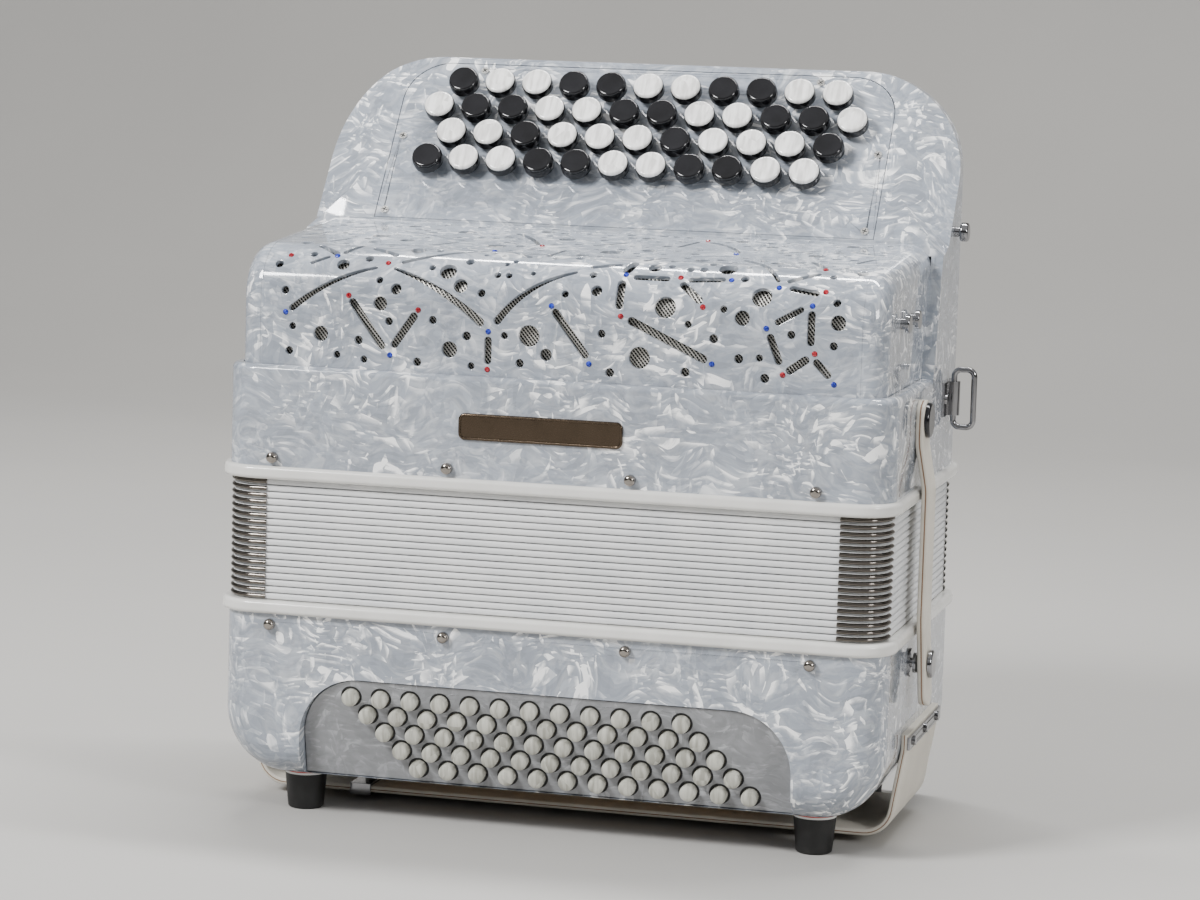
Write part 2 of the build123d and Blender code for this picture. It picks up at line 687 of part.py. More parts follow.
def bass_soundboard():
    """The board that closes the bass casing under the bellows, with a slot over each pallet."""
    board = plan_block(WALL + GAP, BASS_TOP - SOUNDBOARD_T, BASS_TOP)
    holes = []
    for y in (20, 44):
        for index in range(REED_COUNT):
            x = (index - (REED_COUNT - 1) / 2) * 2 * BLOCK_HALF_X / REED_COUNT
            holes.append(Pos(x, y, BASS_TOP) * Box(9, 9, 3 * SOUNDBOARD_T))
    return board - holes


def reed_blocks(z0, z1):
    """Three wooden reed blocks side by side, rounded along their lengths."""
    blocks = []
    for y in (-BLOCK_Y, 0, BLOCK_Y):
        blocks.append(box(-BLOCK_HALF_X, BLOCK_HALF_X, y - BLOCK_T / 2, y + BLOCK_T / 2, z0, z1))
    return Compound(blocks)


def reed_plates(z0, z1):
    """The reed plates on both faces of the reed blocks."""
    plates = []
    pitch = 2 * BLOCK_HALF_X / REED_COUNT
    for y in (-BLOCK_Y, 0, BLOCK_Y):
        for side in (-1, 1):
            face = y + side * BLOCK_T / 2
            for index in range(REED_COUNT):
                x = (index - (REED_COUNT - 1) / 2) * pitch
                y0, y1 = sorted((face, face + side * REED_T))
                plates.append(box(x - pitch / 2 + 1, x + pitch / 2 - 1, y0, y1, z0 + 3, z1 - 2))
    return Compound(plates)


# ---------------------------------------------------------------- the bellows

def bellows_frame(z0):
    """A bead round a casing's edge that carries one end of the bellows."""
    bead = ring_block(-BEAD_OUT, FRAME_IN, z0, z0 + BEAD_H)
    rim = [e for e in bead.edges() if is_outer_rim(e, BEAD_OUT)]
    return fillet(rim, 2.0)


def is_outer_rim(edge, out):
    """Whether an edge runs round the outside of a ring that stands out by so much."""
    middle = edge.center()
    if edge.geom_type == GeomType.LINE:
        far = abs(abs(middle.X) - END_X - out) < 0.01 or abs(abs(middle.Y) - BACK_Y - out) < 0.01
        return far and abs(edge.tangent_at(0.5).Z) < 0.01
    return abs(middle.X) > END_X - CORNER_R + out and abs(edge.tangent_at(0.5).Z) < 0.01 and edge.length > 20


def fold_levels(part):
    """The lowest and highest z of one bellows part."""
    height = (BELLOWS_H - SLIT * (BELLOWS_PARTS + 1)) / BELLOWS_PARTS
    z0 = BELLOWS_Z0 + SLIT + part * (height + SLIT)
    return z0, z0 + height


def bellows_folds(part):
    """A third of the bellows: folded cloth and card, six pleats high."""
    z0, z1 = fold_levels(part)
    count = PLEATS // BELLOWS_PARTS
    pleat = (z1 - z0) / count
    cloth = None
    for index in range(count):
        low = z0 + index * pleat
        ring = ring_block(BELLOWS_INSET, BELLOWS_INSET + BELLOWS_FOLD, low, low + pleat)
        rim = [e for e in ring.edges() if is_outer_rim(e, -BELLOWS_INSET)]
        ring = chamfer(rim, 0.9)
        cloth = ring if cloth is None else cloth + ring
    return cloth


def bellows_corners(part):
    """The metal corner clips of a third of the bellows, one on each pleat at each corner."""
    z0, z1 = fold_levels(part)
    count = PLEATS // BELLOWS_PARTS
    pleat = (z1 - z0) / count
    clips = []
    for index in range(count):
        low = z0 + index * pleat + 0.95
        band = ring_block(BELLOWS_INSET - CLIP_T, BELLOWS_INSET, low, low + pleat - 1.9)
        for sx in (-1, 1):
            for sy in (-1, 1):
                x0, x1 = sorted((sx * (END_X - CLIP_LEG_FRONT), sx * END_X))
                y0, y1 = sorted((sy * (BACK_Y - CLIP_LEG_SIDE), sy * BACK_Y))
                clips.append(band & box(x0, x1, y0, y1, low - 1, low + pleat))
    return Compound(clips)


# ----------------------------------------------------------- straps and fittings

def rubber_feet():
    """The four tapered rubber feet."""
    feet = []
    for x in (-FOOT_X, FOOT_X):
        for y in (-FOOT_Y, FOOT_Y):
            foot = disc(x, y, 0, BASE_Z - WASHER_H, FOOT_BASE_R, FOOT_TOP_R)
            feet.append(fillet(foot.edges().sort_by(Axis.Z)[:1], 1.2))
    return Compound(feet)


def foot_washers():
    """The washers between the feet and the casing, cut to the casing's rounded edge."""
    body = bass_body()
    washers = []
    for x in (-FOOT_X, FOOT_X):
        for y in (-FOOT_Y, FOOT_Y):
            washers.append(disc(x, y, BASE_Z - WASHER_H, BASE_Z + 2, FOOT_TOP_R) - body)
    return Compound(washers)


def band(points, radius, thick, y0, y1):
    """A flat band of one thickness along a rounded path of (x, z) points."""
    path = FilletPolyline(*points, radius=radius)
    return Plane.XZ.offset(-y1) * extrude(trace(path, thick), y1 - y0)


def bass_strap():
    """The hand strap under the bass casing, up both ends."""
    middle = END_X + HAND_T / 2
    low = HAND_LOW_Z + HAND_T / 2
    right = [(middle, HAND_END_Z), (middle, 45.0), (middle - 3.6, 24.0), (middle - 6.5, low)]
    left = [(-x, z) for x, z in reversed(right)]
    return band(right + left, 13.0, HAND_T, HAND_Y0, HAND_Y1)


def bass_strap_brackets():
    """The metal strips over the strap's ends and the slider round it."""
    pieces = []
    for side in (1, -1):
        x0, x1 = sorted((side * (END_X + HAND_T), side * (END_X + HAND_T + STRIP_T)))
        strip = box(x0, x1, HAND_Y0, HAND_Y1, HAND_END_Z - 7, HAND_END_Z - 1)
        holes = [axial_x(x0 - 1, x1 + 1, y, HAND_END_Z - 4, 1.2) for y in STRIP_SCREWS]
        pieces.append(strip - holes)
    low = HAND_LOW_Z - SLIT - STRIP_T
    high = HAND_LOW_Z + HAND_T + SLIT + STRIP_T
    slider = box(SLIDER_X - 5, SLIDER_X + 5, HAND_Y0 - 1.5, HAND_Y1 + 1.5, low, high)
    gap = box(SLIDER_X - 6, SLIDER_X + 6, HAND_Y0 - SLIT, HAND_Y1 + SLIT, HAND_LOW_Z - SLIT, high - STRIP_T)
    pieces.append(slider - gap)
    return Compound(pieces)


def bass_strap_screws():
    """The screws of the strips over the strap's ends."""
    screws = []
    for side in (1, -1):
        face = END_X + HAND_T + STRIP_T
        for y in STRIP_SCREWS:
            a, b = sorted((side * face, side * (face + 1.0)))
            c, d = sorted((side * (face - STRIP_T), side * face))
            head = axial_x(a, b, y, HAND_END_Z - 4, 2.2)
            screws.append(head + axial_x(c, d, y, HAND_END_Z - 4, 1.1))
    return screws


def bellows_straps():
    """The bellows straps: flat on the treble casing, standing off over the beads and the bass studs."""
    top = END_X + STRAP_T / 2
    clear = END_X + BEAD_OUT + 0.9 + STRAP_T / 2
    points = [(top, STRAP_TOP_Z), (top, 184.0), (clear, 163.0), (clear, 104.0), (clear + 2.0, STRAP_END_Z)]
    strap = band(points, 30.0, STRAP_T, STRAP_Y - STRAP_HALF_W, STRAP_Y + STRAP_HALF_W)
    height = STRAP_TOP_Z - STRAP_END_Z
    face = Pos(STRAP_Y, (STRAP_TOP_Z + STRAP_END_Z) / 2) * RectangleRounded(2 * STRAP_HALF_W, height, 6)
    strap = strap & Pos(END_X - 5, 0, 0) * extrude(Plane.YZ * face, 30, dir=(1, 0, 0))
    return both_ends(strap - axial_x(END_X, END_X + 20, STRAP_Y, STRAP_PIN_Z, 2.1))


def both_ends(piece):
    """The piece at the right end and its mirror image at the left end."""
    return Compound([piece, mirror(piece, about=Plane.YZ)])


def strap_pins():
    """The black headed pins that hold the bellows straps to the treble casing."""
    face = END_X + STRAP_T
    head = axial_x(face, face + 2.2, STRAP_Y, STRAP_PIN_Z, 8.0)
    head = fillet(head.edges().filter_by(GeomType.CIRCLE).sort_by(Axis.X)[-1:], 1.2)
    return both_ends(head + axial_x(END_X, face, STRAP_Y, STRAP_PIN_Z, 2.0))


def strap_snaps():
    """The snap caps on the lower ends of the bellows straps."""
    face = END_X + BEAD_OUT + 0.9 + STRAP_T + 2.0 * (104.0 - SNAP_Z) / (104.0 - STRAP_END_Z)
    cap = axial_x(face + 0.35, face + 2.4, STRAP_Y, SNAP_Z, 6.4)
    return both_ends(fillet(cap.edges().filter_by(GeomType.CIRCLE).sort_by(Axis.X)[-1:], 1.0))


def strap_studs_low():
    """The chrome studs on the bass casing under the straps' snaps."""
    end = END_X + BEAD_OUT + 0.9 + 0.2
    flange = axial_x(END_X, END_X + 1.2, STRAP_Y, SNAP_Z, 6.5)
    neck = axial_x(END_X + 1.2, end - 2.0, STRAP_Y, SNAP_Z, 2.2)
    head = axial_x(end - 2.0, end, STRAP_Y, SNAP_Z, 4.6)
    rim = head.edges().filter_by(GeomType.CIRCLE).sort_by(Axis.X)[-1:]
    return both_ends(flange + neck + fillet(rim, 0.8))


def strap_ring(side):
    """A shoulder strap ring: a rod in the bracket and a flat loop standing out from the wall."""
    middle_x = (RING_AXIS_X + RING_BAR_X) / 2
    middle_z = (RING_Z0 + RING_Z1) / 2
    loop = Pos(middle_x, middle_z) * RectangleRounded(RING_BAR_X - RING_AXIS_X, RING_Z1 - RING_Z0, 3.2)
    path = loop.wire()
    start = path.edges()[0]
    across = Plane(origin=start @ 0, z_dir=start % 0)
    ring = sweep(across * Circle(WIRE_R), path=path)
    ring = Plane.XZ * ring
    ring = Pos(0, RING_Y, 0) * ring
    return ring if side > 0 else mirror(ring, about=Plane.YZ)


def ring_brackets():
    """The plates and knuckles that the rings turn in, with their screws."""
    middle_z = (RING_Z0 + RING_Z1) / 2
    plate = box(END_X, END_X + 1.2, RING_Y - 12, RING_Y + 12, middle_z - 8, middle_z + 8)
    knuckle = disc(RING_AXIS_X, RING_Y, middle_z - 8, middle_z + 8, 2.9)
    knuckle = knuckle + box(END_X, RING_AXIS_X, RING_Y - 2.2, RING_Y + 2.2, middle_z - 8, middle_z + 8)
    bracket = plate + knuckle - disc(RING_AXIS_X, RING_Y, middle_z - 9, middle_z + 9, WIRE_R + WIRE_GAP)
    for y in (RING_Y - 8, RING_Y + 8):
        head = axial_x(END_X + 1.2, END_X + 2.2, y, middle_z, 2.2)
        bracket = bracket + head
    return both_ends(bracket)


def strap_stud():
    """The shoulder strap stud high on the right end."""
    shank = axial_x(END_X, END_X + 3.0, STUD_Y, STUD_Z, 2.4)
    knob = axial_x(END_X + 3.0, END_X + 7.0, STUD_Y, STUD_Z, 4.5)
    knob = fillet(knob.edges().filter_by(GeomType.CIRCLE), 1.2)
    return shank + knob


# --------------------------------------------------------------------- export

def nodes():
    """Every named piece with its shape."""
    made = {
        "bass_casing": bass_casing(),
        "bass_button_board": bass_button_board(),
        "bass_guide_board": bass_guide_board(),
        "bass_base_plate": bass_hatch(),
        "bass_screws": Compound(hatch_screws() + bass_strap_screws()),
        "bass_soundboard": bass_soundboard(),
        "bass_pallets": bass_pallets(),
        "bass_reed_blocks": reed_blocks(BASS_TOP, BASS_TOP + BLOCK_H),
        "bass_reed_plates": reed_plates(BASS_TOP, BASS_TOP + BLOCK_H),
        "bass_bellows_frame": bellows_frame(BASS_TOP),
        "bass_bellows_pins": bellows_pins(BASS_TOP - PIN_OFFSET - 1),
        "bass_strap": bass_strap(),
        "bass_strap_brackets": bass_strap_brackets(),
        "bass_strap_studs": strap_studs_low(),
        "rubber_feet": rubber_feet(),
        "foot_washers": foot_washers(),
        "air_button": air_button(),
        "treble_casing": treble_casing(),
        "treble_bellows_frame": bellows_frame(BELLOWS_Z1),
        "treble_bellows_pins": bellows_pins(TREBLE_Z + PIN_OFFSET),
        "treble_soundboard": treble_soundboard(),
        "treble_reed_blocks": reed_blocks(TREBLE_Z - BLOCK_H, TREBLE_Z),
        "treble_reed_plates": reed_plates(TREBLE_Z - BLOCK_H, TREBLE_Z),
        "treble_pallets": treble_pallets(),
        "treble_levers": treble_levers(),
        "button_plate": button_plate(),
        "button_plate_screws": button_plate_screws(),
        "grille_cover": grille_cover(),
        "grille_mesh": grille_mesh(),
        "grille_stones_red": grille_stones(STONES_RED),
        "grille_stones_blue": grille_stones(STONES_BLUE),
        "name_plate": name_plate(),
        "chin_switch_front": chin_switch(SWITCH_YS[0]),
        "chin_switch_rear": chin_switch(SWITCH_YS[1]),
        "bellows_straps": bellows_straps(),
        "bellows_strap_pins": strap_pins(),
        "bellows_strap_snaps": strap_snaps(),
        "ring_brackets": ring_brackets(),
        "strap_ring_right": strap_ring(1),
        "strap_ring_left": strap_ring(-1),
        "strap_stud": strap_stud(),
    }
    for row in range(BASS_ROWS):
        made[f"bass_buttons_row_{row + 1}"] = bass_buttons(row)
    for row in range(len(ROW_COLOURS)):
        made[f"treble_buttons_row_{row + 1}_white"] = treble_buttons(row, "w")
        made[f"treble_buttons_row_{row + 1}_black"] = treble_buttons(row, "b")
    for part in range(BELLOWS_PARTS):
        made[f"bellows_folds_{part + 1}"] = bellows_folds(part)
        made[f"bellows_corners_{part + 1}"] = bellows_corners(part)
    return made


os.makedirs("parts", exist_ok=True)
for name, shape in nodes().items():
    export_step(shape, os.path.join("parts", name + ".step"))
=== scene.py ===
import math
import random

import bmesh
import bpy
from mathutils import Matrix, Vector


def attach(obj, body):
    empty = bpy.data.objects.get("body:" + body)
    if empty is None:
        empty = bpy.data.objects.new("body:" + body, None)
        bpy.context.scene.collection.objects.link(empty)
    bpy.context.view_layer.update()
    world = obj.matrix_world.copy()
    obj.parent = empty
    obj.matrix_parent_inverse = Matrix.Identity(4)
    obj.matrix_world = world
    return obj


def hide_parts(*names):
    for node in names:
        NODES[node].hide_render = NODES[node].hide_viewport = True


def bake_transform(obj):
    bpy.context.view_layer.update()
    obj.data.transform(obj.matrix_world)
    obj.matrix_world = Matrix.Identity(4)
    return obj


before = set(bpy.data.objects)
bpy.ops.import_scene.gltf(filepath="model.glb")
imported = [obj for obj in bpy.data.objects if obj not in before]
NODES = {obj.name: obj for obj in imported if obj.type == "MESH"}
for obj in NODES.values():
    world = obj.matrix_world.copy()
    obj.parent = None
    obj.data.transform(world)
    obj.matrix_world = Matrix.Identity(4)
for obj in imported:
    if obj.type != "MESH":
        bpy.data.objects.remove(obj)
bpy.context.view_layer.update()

MM = 0.001

# Main dimensions of the frame, in millimetres
END_X = 155.0
BACK_Y = 86.0
CORNER_R = 16.0
LIP_Z = 209.0
BELLOWS_Z0 = 101.0
BELLOWS_Z1 = 157.0
PLEATS = 18


# ------------------------------------------------------------------ camera, stage and light

AZIMUTH = math.radians(14.92)
ELEVATION = math.radians(7.45)
ROLL = math.radians(1.61)
CAMERA_TARGET = Vector((0.0008, 0.0, 0.168))
CAMERA_DISTANCE = 1.7302
LENS = 111.0


def place_camera():
    forward = Vector((
        -math.sin(AZIMUTH) * math.cos(ELEVATION),
        math.cos(AZIMUTH) * math.cos(ELEVATION),
        -math.sin(ELEVATION),
    ))
    data = bpy.data.cameras.new("camera")
    data.lens = LENS
    data.sensor_width = 36.0
    data.clip_end = 50.0
    camera = bpy.data.objects.new("camera", data)
    bpy.context.collection.objects.link(camera)
    right = forward.cross(Vector((0, 0, 1))).normalized()
    up = right.cross(forward).normalized()
    turn = Matrix((right, up, -forward)).transposed().to_4x4()
    camera.matrix_world = (
        Matrix.Translation(CAMERA_TARGET - forward * CAMERA_DISTANCE) @ turn @ Matrix.Rotation(ROLL, 4, "Z")
    )
    bpy.context.scene.camera = camera


def area_light(name, place, target, size, power, colour=(1, 1, 1), size_y=None):
    data = bpy.data.lights.new(name, "AREA")
    data.energy = power
    data.color = colour
    data.size = size
    if size_y:
        data.shape = "RECTANGLE"
        data.size_y = size_y
    lamp = bpy.data.objects.new(name, data)
    bpy.context.collection.objects.link(lamp)
    lamp.location = place
    lamp.rotation_euler = (Vector(target) - Vector(place)).to_track_quat("-Z", "Y").to_euler()


# ------------------------------------------------------------------ material helpers

MID_GREY = (0.5, 0.5, 0.5)
FLAKE_BEND = 0.030

# Layers of pearl flakes: turn of the layer, cells to the metre each way, share of cells that shine
FLAKE_LAYERS = (
    ((0.3, 0.7, 0.6), (80, 100, 330), 0.22),
    ((1.1, 0.2, 1.9), (110, 400, 120), 0.24),
    ((0.8, 1.3, 0.2), (420, 140, 130), 0.22),
    ((2.1, 0.5, 1.1), (170, 260, 600), 0.24),
)

class Shader:
    """A node material with a short way to add and link nodes."""

    def __init__(self, name, **values):
        self.material = bpy.data.materials.new(name)
        self.material.use_nodes = True
        self.tree = self.material.node_tree
        self.bsdf = self.tree.nodes["Principled BSDF"]
        for key, value in values.items():
            self.bsdf.inputs[key.replace("_", " ")].default_value = value
        self.coords = self.node("ShaderNodeTexCoord").outputs["Object"]

    def node(self, kind, inputs=None, **settings):
        made = self.tree.nodes.new(kind)
        for key, value in settings.items():
            setattr(made, key, value)
        for key, value in (inputs or {}).items():
            self.feed(made.inputs[key], value)
        return made

    def feed(self, socket, value):
        if isinstance(value, bpy.types.NodeSocket):
            self.tree.links.new(value, socket)
        else:
            socket.default_value = value

    def set(self, key, value):
        self.feed(self.bsdf.inputs[key], value)

    def noise(self, scale, detail=3.0, rough=0.5, vector=None, distortion=0.0):
        made = self.node("ShaderNodeTexNoise", {
            "Vector": vector or self.coords, "Scale": scale, "Detail": detail,
            "Roughness": rough, "Distortion": distortion,
        })
        return made.outputs["Fac"]

    def mapped(self, scale=(1, 1, 1), turn=(0, 0, 0), vector=None):
        made = self.node("ShaderNodeMapping", {
            "Vector": vector or self.coords, "Scale": scale, "Rotation": turn,
        })
        return made.outputs["Vector"]

    def vector(self, operation, a, b=(0.0, 0.0, 0.0), output="Vector"):
        made = self.node("ShaderNodeVectorMath", {0: a, 1: b}, operation=operation)
        return made.outputs[output]

    def scaled(self, vector, factor):
        made = self.node("ShaderNodeVectorMath", {0: vector, "Scale": factor}, operation="SCALE")
        return made.outputs["Vector"]

    def wave(self, scale, turn, direction="X"):
        made = self.node("ShaderNodeTexWave", {"Vector": self.mapped(turn=turn), "Scale": scale},
                         bands_direction=direction)
        return made.outputs["Fac"]

    def ramp(self, value, stops, smooth=False):
        made = self.node("ShaderNodeValToRGB", {"Fac": value})
        if smooth:
            made.color_ramp.interpolation = "EASE"
        elements = made.color_ramp.elements
        while len(elements) < len(stops):
            elements.new(0.5)
        for element, (place, colour) in zip(elements, stops):
            element.position = place
            grey = isinstance(colour, (int, float))
            element.color = (colour, colour, colour, 1) if grey else (*colour, 1)
        return made.outputs["Color"]

    def math(self, operation, a, b=0.0, clamp=False):
        made = self.node("ShaderNodeMath", operation=operation, use_clamp=clamp)
        self.feed(made.inputs[0], a)
        self.feed(made.inputs[1], b)
        return made.outputs[0]

    def mix(self, factor, a, b, blend="MIX"):
        made = self.node("ShaderNodeMix", data_type="RGBA", blend_type=blend)
        self.feed(made.inputs[0], factor)
        self.feed(made.inputs[6], a if isinstance(a, bpy.types.NodeSocket) else (*a, 1))
        self.feed(made.inputs[7], b if isinstance(b, bpy.types.NodeSocket) else (*b, 1))
        return made.outputs[2]

    def bump(self, height, strength, distance=0.0005):
        made = self.node("ShaderNodeBump", {"Height": height, "Strength": strength, "Distance": distance})
        self.set("Normal", made.outputs["Normal"])


def pearl_material(name, dark, middle, light, amount=0.5, rough=0.09):
    """Celluloid pearl: flakes with one crisp bright edge each, fading into a glassy grey."""
    s = Shader(name, Coat_Weight=0.6, Coat_Roughness=0.03, IOR=1.5)
    swirl = s.node("ShaderNodeTexNoise", {"Vector": s.coords, "Scale": 30.0, "Detail": 1.0}).outputs["Color"]
    bent = s.vector("ADD", s.coords, s.scaled(s.vector("SUBTRACT", swirl, MID_GREY), FLAKE_BEND))
    grain_coords = s.mapped(scale=(90, 300, 160), turn=(0.4, 0.9, 0.5), vector=bent)
    grain = s.noise(1.0, detail=3.0, rough=0.6, vector=grain_coords, distortion=0.8)
    shards, tone = None, None
    for turn, scale, share in FLAKE_LAYERS:
        where = s.mapped(scale=scale, turn=turn, vector=bent)
        cells = s.node("ShaderNodeTexVoronoi", {"Vector": where, "Scale": 1.0, "Randomness": 1.0})
        tint = s.node("ShaderNodeSeparateColor", {"Color": cells.outputs["Color"]}).outputs["Red"]
        from_centre = s.vector("SUBTRACT", where, cells.outputs["Position"])
        aim = s.vector("NORMALIZE", s.vector("SUBTRACT", cells.outputs["Color"], MID_GREY))
        across = s.vector("DOT_PRODUCT", from_centre, aim, output="Value")
        fade = s.ramp(s.math("ADD", across, 0.5), [(0.46, 0.0), (0.66, 0.35), (0.86, 1.0)])
        chosen = s.ramp(tint, [(1 - share, 0.0), (1 - share + 0.04, 0.6), (1.0, 1.0)])
        shard = s.math("MULTIPLY", fade, chosen)
        shards = shard if shards is None else s.math("MAXIMUM", shards, shard)
        tone = tint if tone is None else s.math("MULTIPLY", s.math("ADD", tone, tint), 0.5)
    shards = s.math("MULTIPLY", shards, s.ramp(grain, [(0.40, 0.15), (0.56, 1.0)]), clamp=True)
    cluster = s.ramp(s.noise(17.0, detail=1.0), [(0.38, 0.16), (0.62, 1.0)])
    shards = s.math("MULTIPLY", shards, cluster, clamp=True)
    cloud = s.math("ADD", s.math("MULTIPLY", tone, 0.5), s.math("MULTIPLY", s.noise(26.0, vector=bent), 0.5))
    base = s.mix(s.ramp(cloud, [(0.32, 0.0), (0.66, 1.0)]), dark, middle)
    base = s.mix(s.math("MULTIPLY", s.ramp(grain, [(0.45, 0.0), (0.75, 1.0)]), 0.25), base, light)
    s.set("Base Color", s.mix(s.math("MULTIPLY", shards, 2.0 * amount, clamp=True), base, light))
    s.set("Roughness", s.ramp(shards, [(0.0, rough), (1.0, rough + 0.05)]))
    return s.material


def plastic_material(name, colour, shade, rough, grain=380.0, coat=0.3, strength=0.06):
    """Moulded plastic with a little mottling and fine surface grain."""
    s = Shader(name, Coat_Weight=coat, Coat_Roughness=0.08)
    mottle = s.noise(70.0, detail=4.0)
    s.set("Base Color", s.mix(s.ramp(mottle, [(0.35, 0.0), (0.70, 1.0)]), shade, colour))
    fine = s.noise(grain, detail=2.0)
    s.set("Roughness", s.ramp(fine, [(0.3, rough * 0.8), (0.7, rough * 1.25)]))
    s.bump(fine, strength, 0.0002)
    return s.material


def button_material(name, colour, stripe, rough):
    """A pearl button: soft stripes that differ from button to button."""
    s = Shader(name, Coat_Weight=0.8, Coat_Roughness=0.05)
    cells = s.node("ShaderNodeTexVoronoi", {"Vector": s.coords, "Scale": 56.0})
    moved = s.vector("ADD", s.coords, s.scaled(cells.outputs["Color"], 0.05))
    lines = s.noise(1.0, detail=3.0, vector=s.mapped(scale=(420, 90, 60), turn=(0.2, 0.5, 0.3), vector=moved))
    s.set("Base Color", s.mix(s.ramp(lines, [(0.38, 0.0), (0.62, 1.0)]), stripe, colour))
    s.set("Roughness", s.ramp(lines, [(0.3, rough), (0.7, rough + 0.08)]))
    return s.material


def metal_material(name, colour, rough, wear=0.5):
    """Polished metal with faint tarnish and fine scratches."""
    s = Shader(name, Metallic=1.0)
    tarnish = s.noise(90.0, detail=5.0, rough=0.65)
    dull = tuple(c * 0.72 for c in colour)
    s.set("Base Color", s.mix(s.ramp(tarnish, [(0.45, 0.0), (0.75, wear)]), colour, dull))
    scratch = s.noise(1.0, detail=3.0, vector=s.mapped(scale=(1500, 300, 2200)))
    s.set("Roughness", s.ramp(scratch, [(0.30, rough * 0.7), (0.75, rough * 1.7)]))
    s.bump(scratch, 0.04, 0.0002)
    return s.material


def cloth_material():
    """White bellows cloth with a fine weave."""
    s = Shader("bellows_cloth", Sheen_Weight=0.15)
    warp = s.wave(420.0, (0, 0, 0.785))
    soft = s.noise(45.0, detail=4.0)
    base = s.mix(s.ramp(soft, [(0.35, 0.0), (0.75, 1.0)]), (0.66, 0.67, 0.68), (0.76, 0.76, 0.76))
    s.set("Base Color", base)
    s.set("Roughness", s.ramp(soft, [(0.3, 0.42), (0.7, 0.58)]))
    s.bump(warp, 0.12, 0.0002)
    return s.material


def leather_material(name, light, dark, rough):
    s = Shader(name)
    cells = s.node("ShaderNodeTexVoronoi", {"Vector": s.coords, "Scale": 1300.0}).outputs["Distance"]
    tone = s.noise(38.0, detail=5.0, rough=0.6)
    s.set("Base Color", s.mix(s.ramp(tone, [(0.30, 0.0), (0.72, 1.0)]), dark, light))
    s.set("Roughness", s.ramp(tone, [(0.3, rough), (0.7, rough + 0.15)]))
    grain = s.math("ADD", cells, s.math("MULTIPLY", s.noise(500.0, detail=2.0), 0.6))
    s.bump(grain, 0.25, 0.0003)
    return s.material


def gauze_material():
    """Woven wire gauze: bright wires over gaps painted near-black as the shade seen through the mesh."""
    s = Shader("wire_gauze", Metallic=0.6, Roughness=0.4)
    strong = s.ramp(s.wave(235.0, (0, 0.70, 0)), [(0.62, 0.0), (0.92, 1.0)])
    faint = s.ramp(s.wave(240.0, (0, 0.70, 0), "Z"), [(0.70, 0.0), (0.95, 1.0)])
    wires = s.math("MAXIMUM", strong, s.math("MULTIPLY", faint, 0.35))
    # The near-black between the wires is painted shade of the interior behind the gauze
    s.set("Base Color", s.mix(wires, (0.004, 0.004, 0.004), (0.80, 0.78, 0.72)))
    s.bump(wires, 0.5, 0.0003)
    return s.material


def rubber_material():
    s = Shader("rubber_black")
    wear = s.noise(160.0, detail=5.0)
    worn = s.ramp(wear, [(0.45, 0.0), (0.8, 1.0)])
    s.set("Base Color", s.mix(worn, (0.004, 0.004, 0.004), (0.018, 0.017, 0.016)))
    s.set("Roughness", s.ramp(wear, [(0.3, 0.38), (0.7, 0.62)]))
    s.bump(wear, 0.15, 0.0003)
    return s.material


def wood_material():
    s = Shader("wood_inner")
    rings = s.noise(1.0, detail=5.0, vector=s.mapped(scale=(12, 190, 190)), distortion=0.6)
    s.set("Base Color", s.mix(rings, (0.44, 0.28, 0.14), (0.72, 0.53, 0.32)))
    s.set("Roughness", s.ramp(rings, [(0.3, 0.45), (0.7, 0.6)]))
    s.bump(rings, 0.15, 0.0003)
    return s.material


def gem_material(name, colour):
    s = Shader(name, Coat_Weight=0.3, Coat_Roughness=0.02)
    glint = s.noise(900.0, detail=1.0)
    bright = tuple(min(1, c * 3 + 0.03) for c in colour)
    s.set("Base Color", s.mix(s.ramp(glint, [(0.40, 0.0), (0.65, 1.0)]), colour, bright))
    s.set("Roughness", s.ramp(glint, [(0.3, 0.05), (0.7, 0.15)]))
    return s.material


def washer_material():
    """The foot washers: white below and red above."""
    s = Shader("foot_washer", Roughness=0.5)
    height = s.node("ShaderNodeSeparateXYZ", {"Vector": s.coords}).outputs["Z"]
    band = s.ramp(s.math("MULTIPLY", s.math("SUBTRACT", height, 0.0165), 400.0), [(0.38, 0.0), (0.42, 1.0)])
    grain = s.noise(400.0)
    white = s.mix(grain, (0.75, 0.74, 0.70), (0.86, 0.85, 0.82))
    s.set("Base Color", s.mix(band, white, (0.50, 0.05, 0.04)))
    s.bump(grain, 0.1, 0.0002)
    return s.material


PEARL = pearl_material("pearl_shell", (0.235, 0.26, 0.30), (0.335, 0.37, 0.425), (1.0, 1.0, 1.0), 1.15)
# A dimmer copy of the pearl shell for the bass button board: the pearl is real, the dimming is painted shade
# of the recess
PEARL_BOARD_PAINTED_SHADE = pearl_material(
    "pearl_board_painted_shade", (0.20, 0.205, 0.215), (0.24, 0.245, 0.255), (0.48, 0.49, 0.51), 0.35,
)
BEAD = plastic_material("ivory_bead", (0.76, 0.75, 0.72), (0.70, 0.69, 0.66), 0.18)
WHITE_BUTTON = button_material("white_button", (0.95, 0.94, 0.92), (0.66, 0.65, 0.63), 0.12)
CREAM_BUTTON = button_material("cream_button", (0.56, 0.555, 0.49), (0.33, 0.325, 0.28), 0.16)
BLACK = plastic_material(
    "black_button", (0.004, 0.004, 0.005), (0.010, 0.010, 0.012), 0.10, coat=0.12, strength=0.02,
)
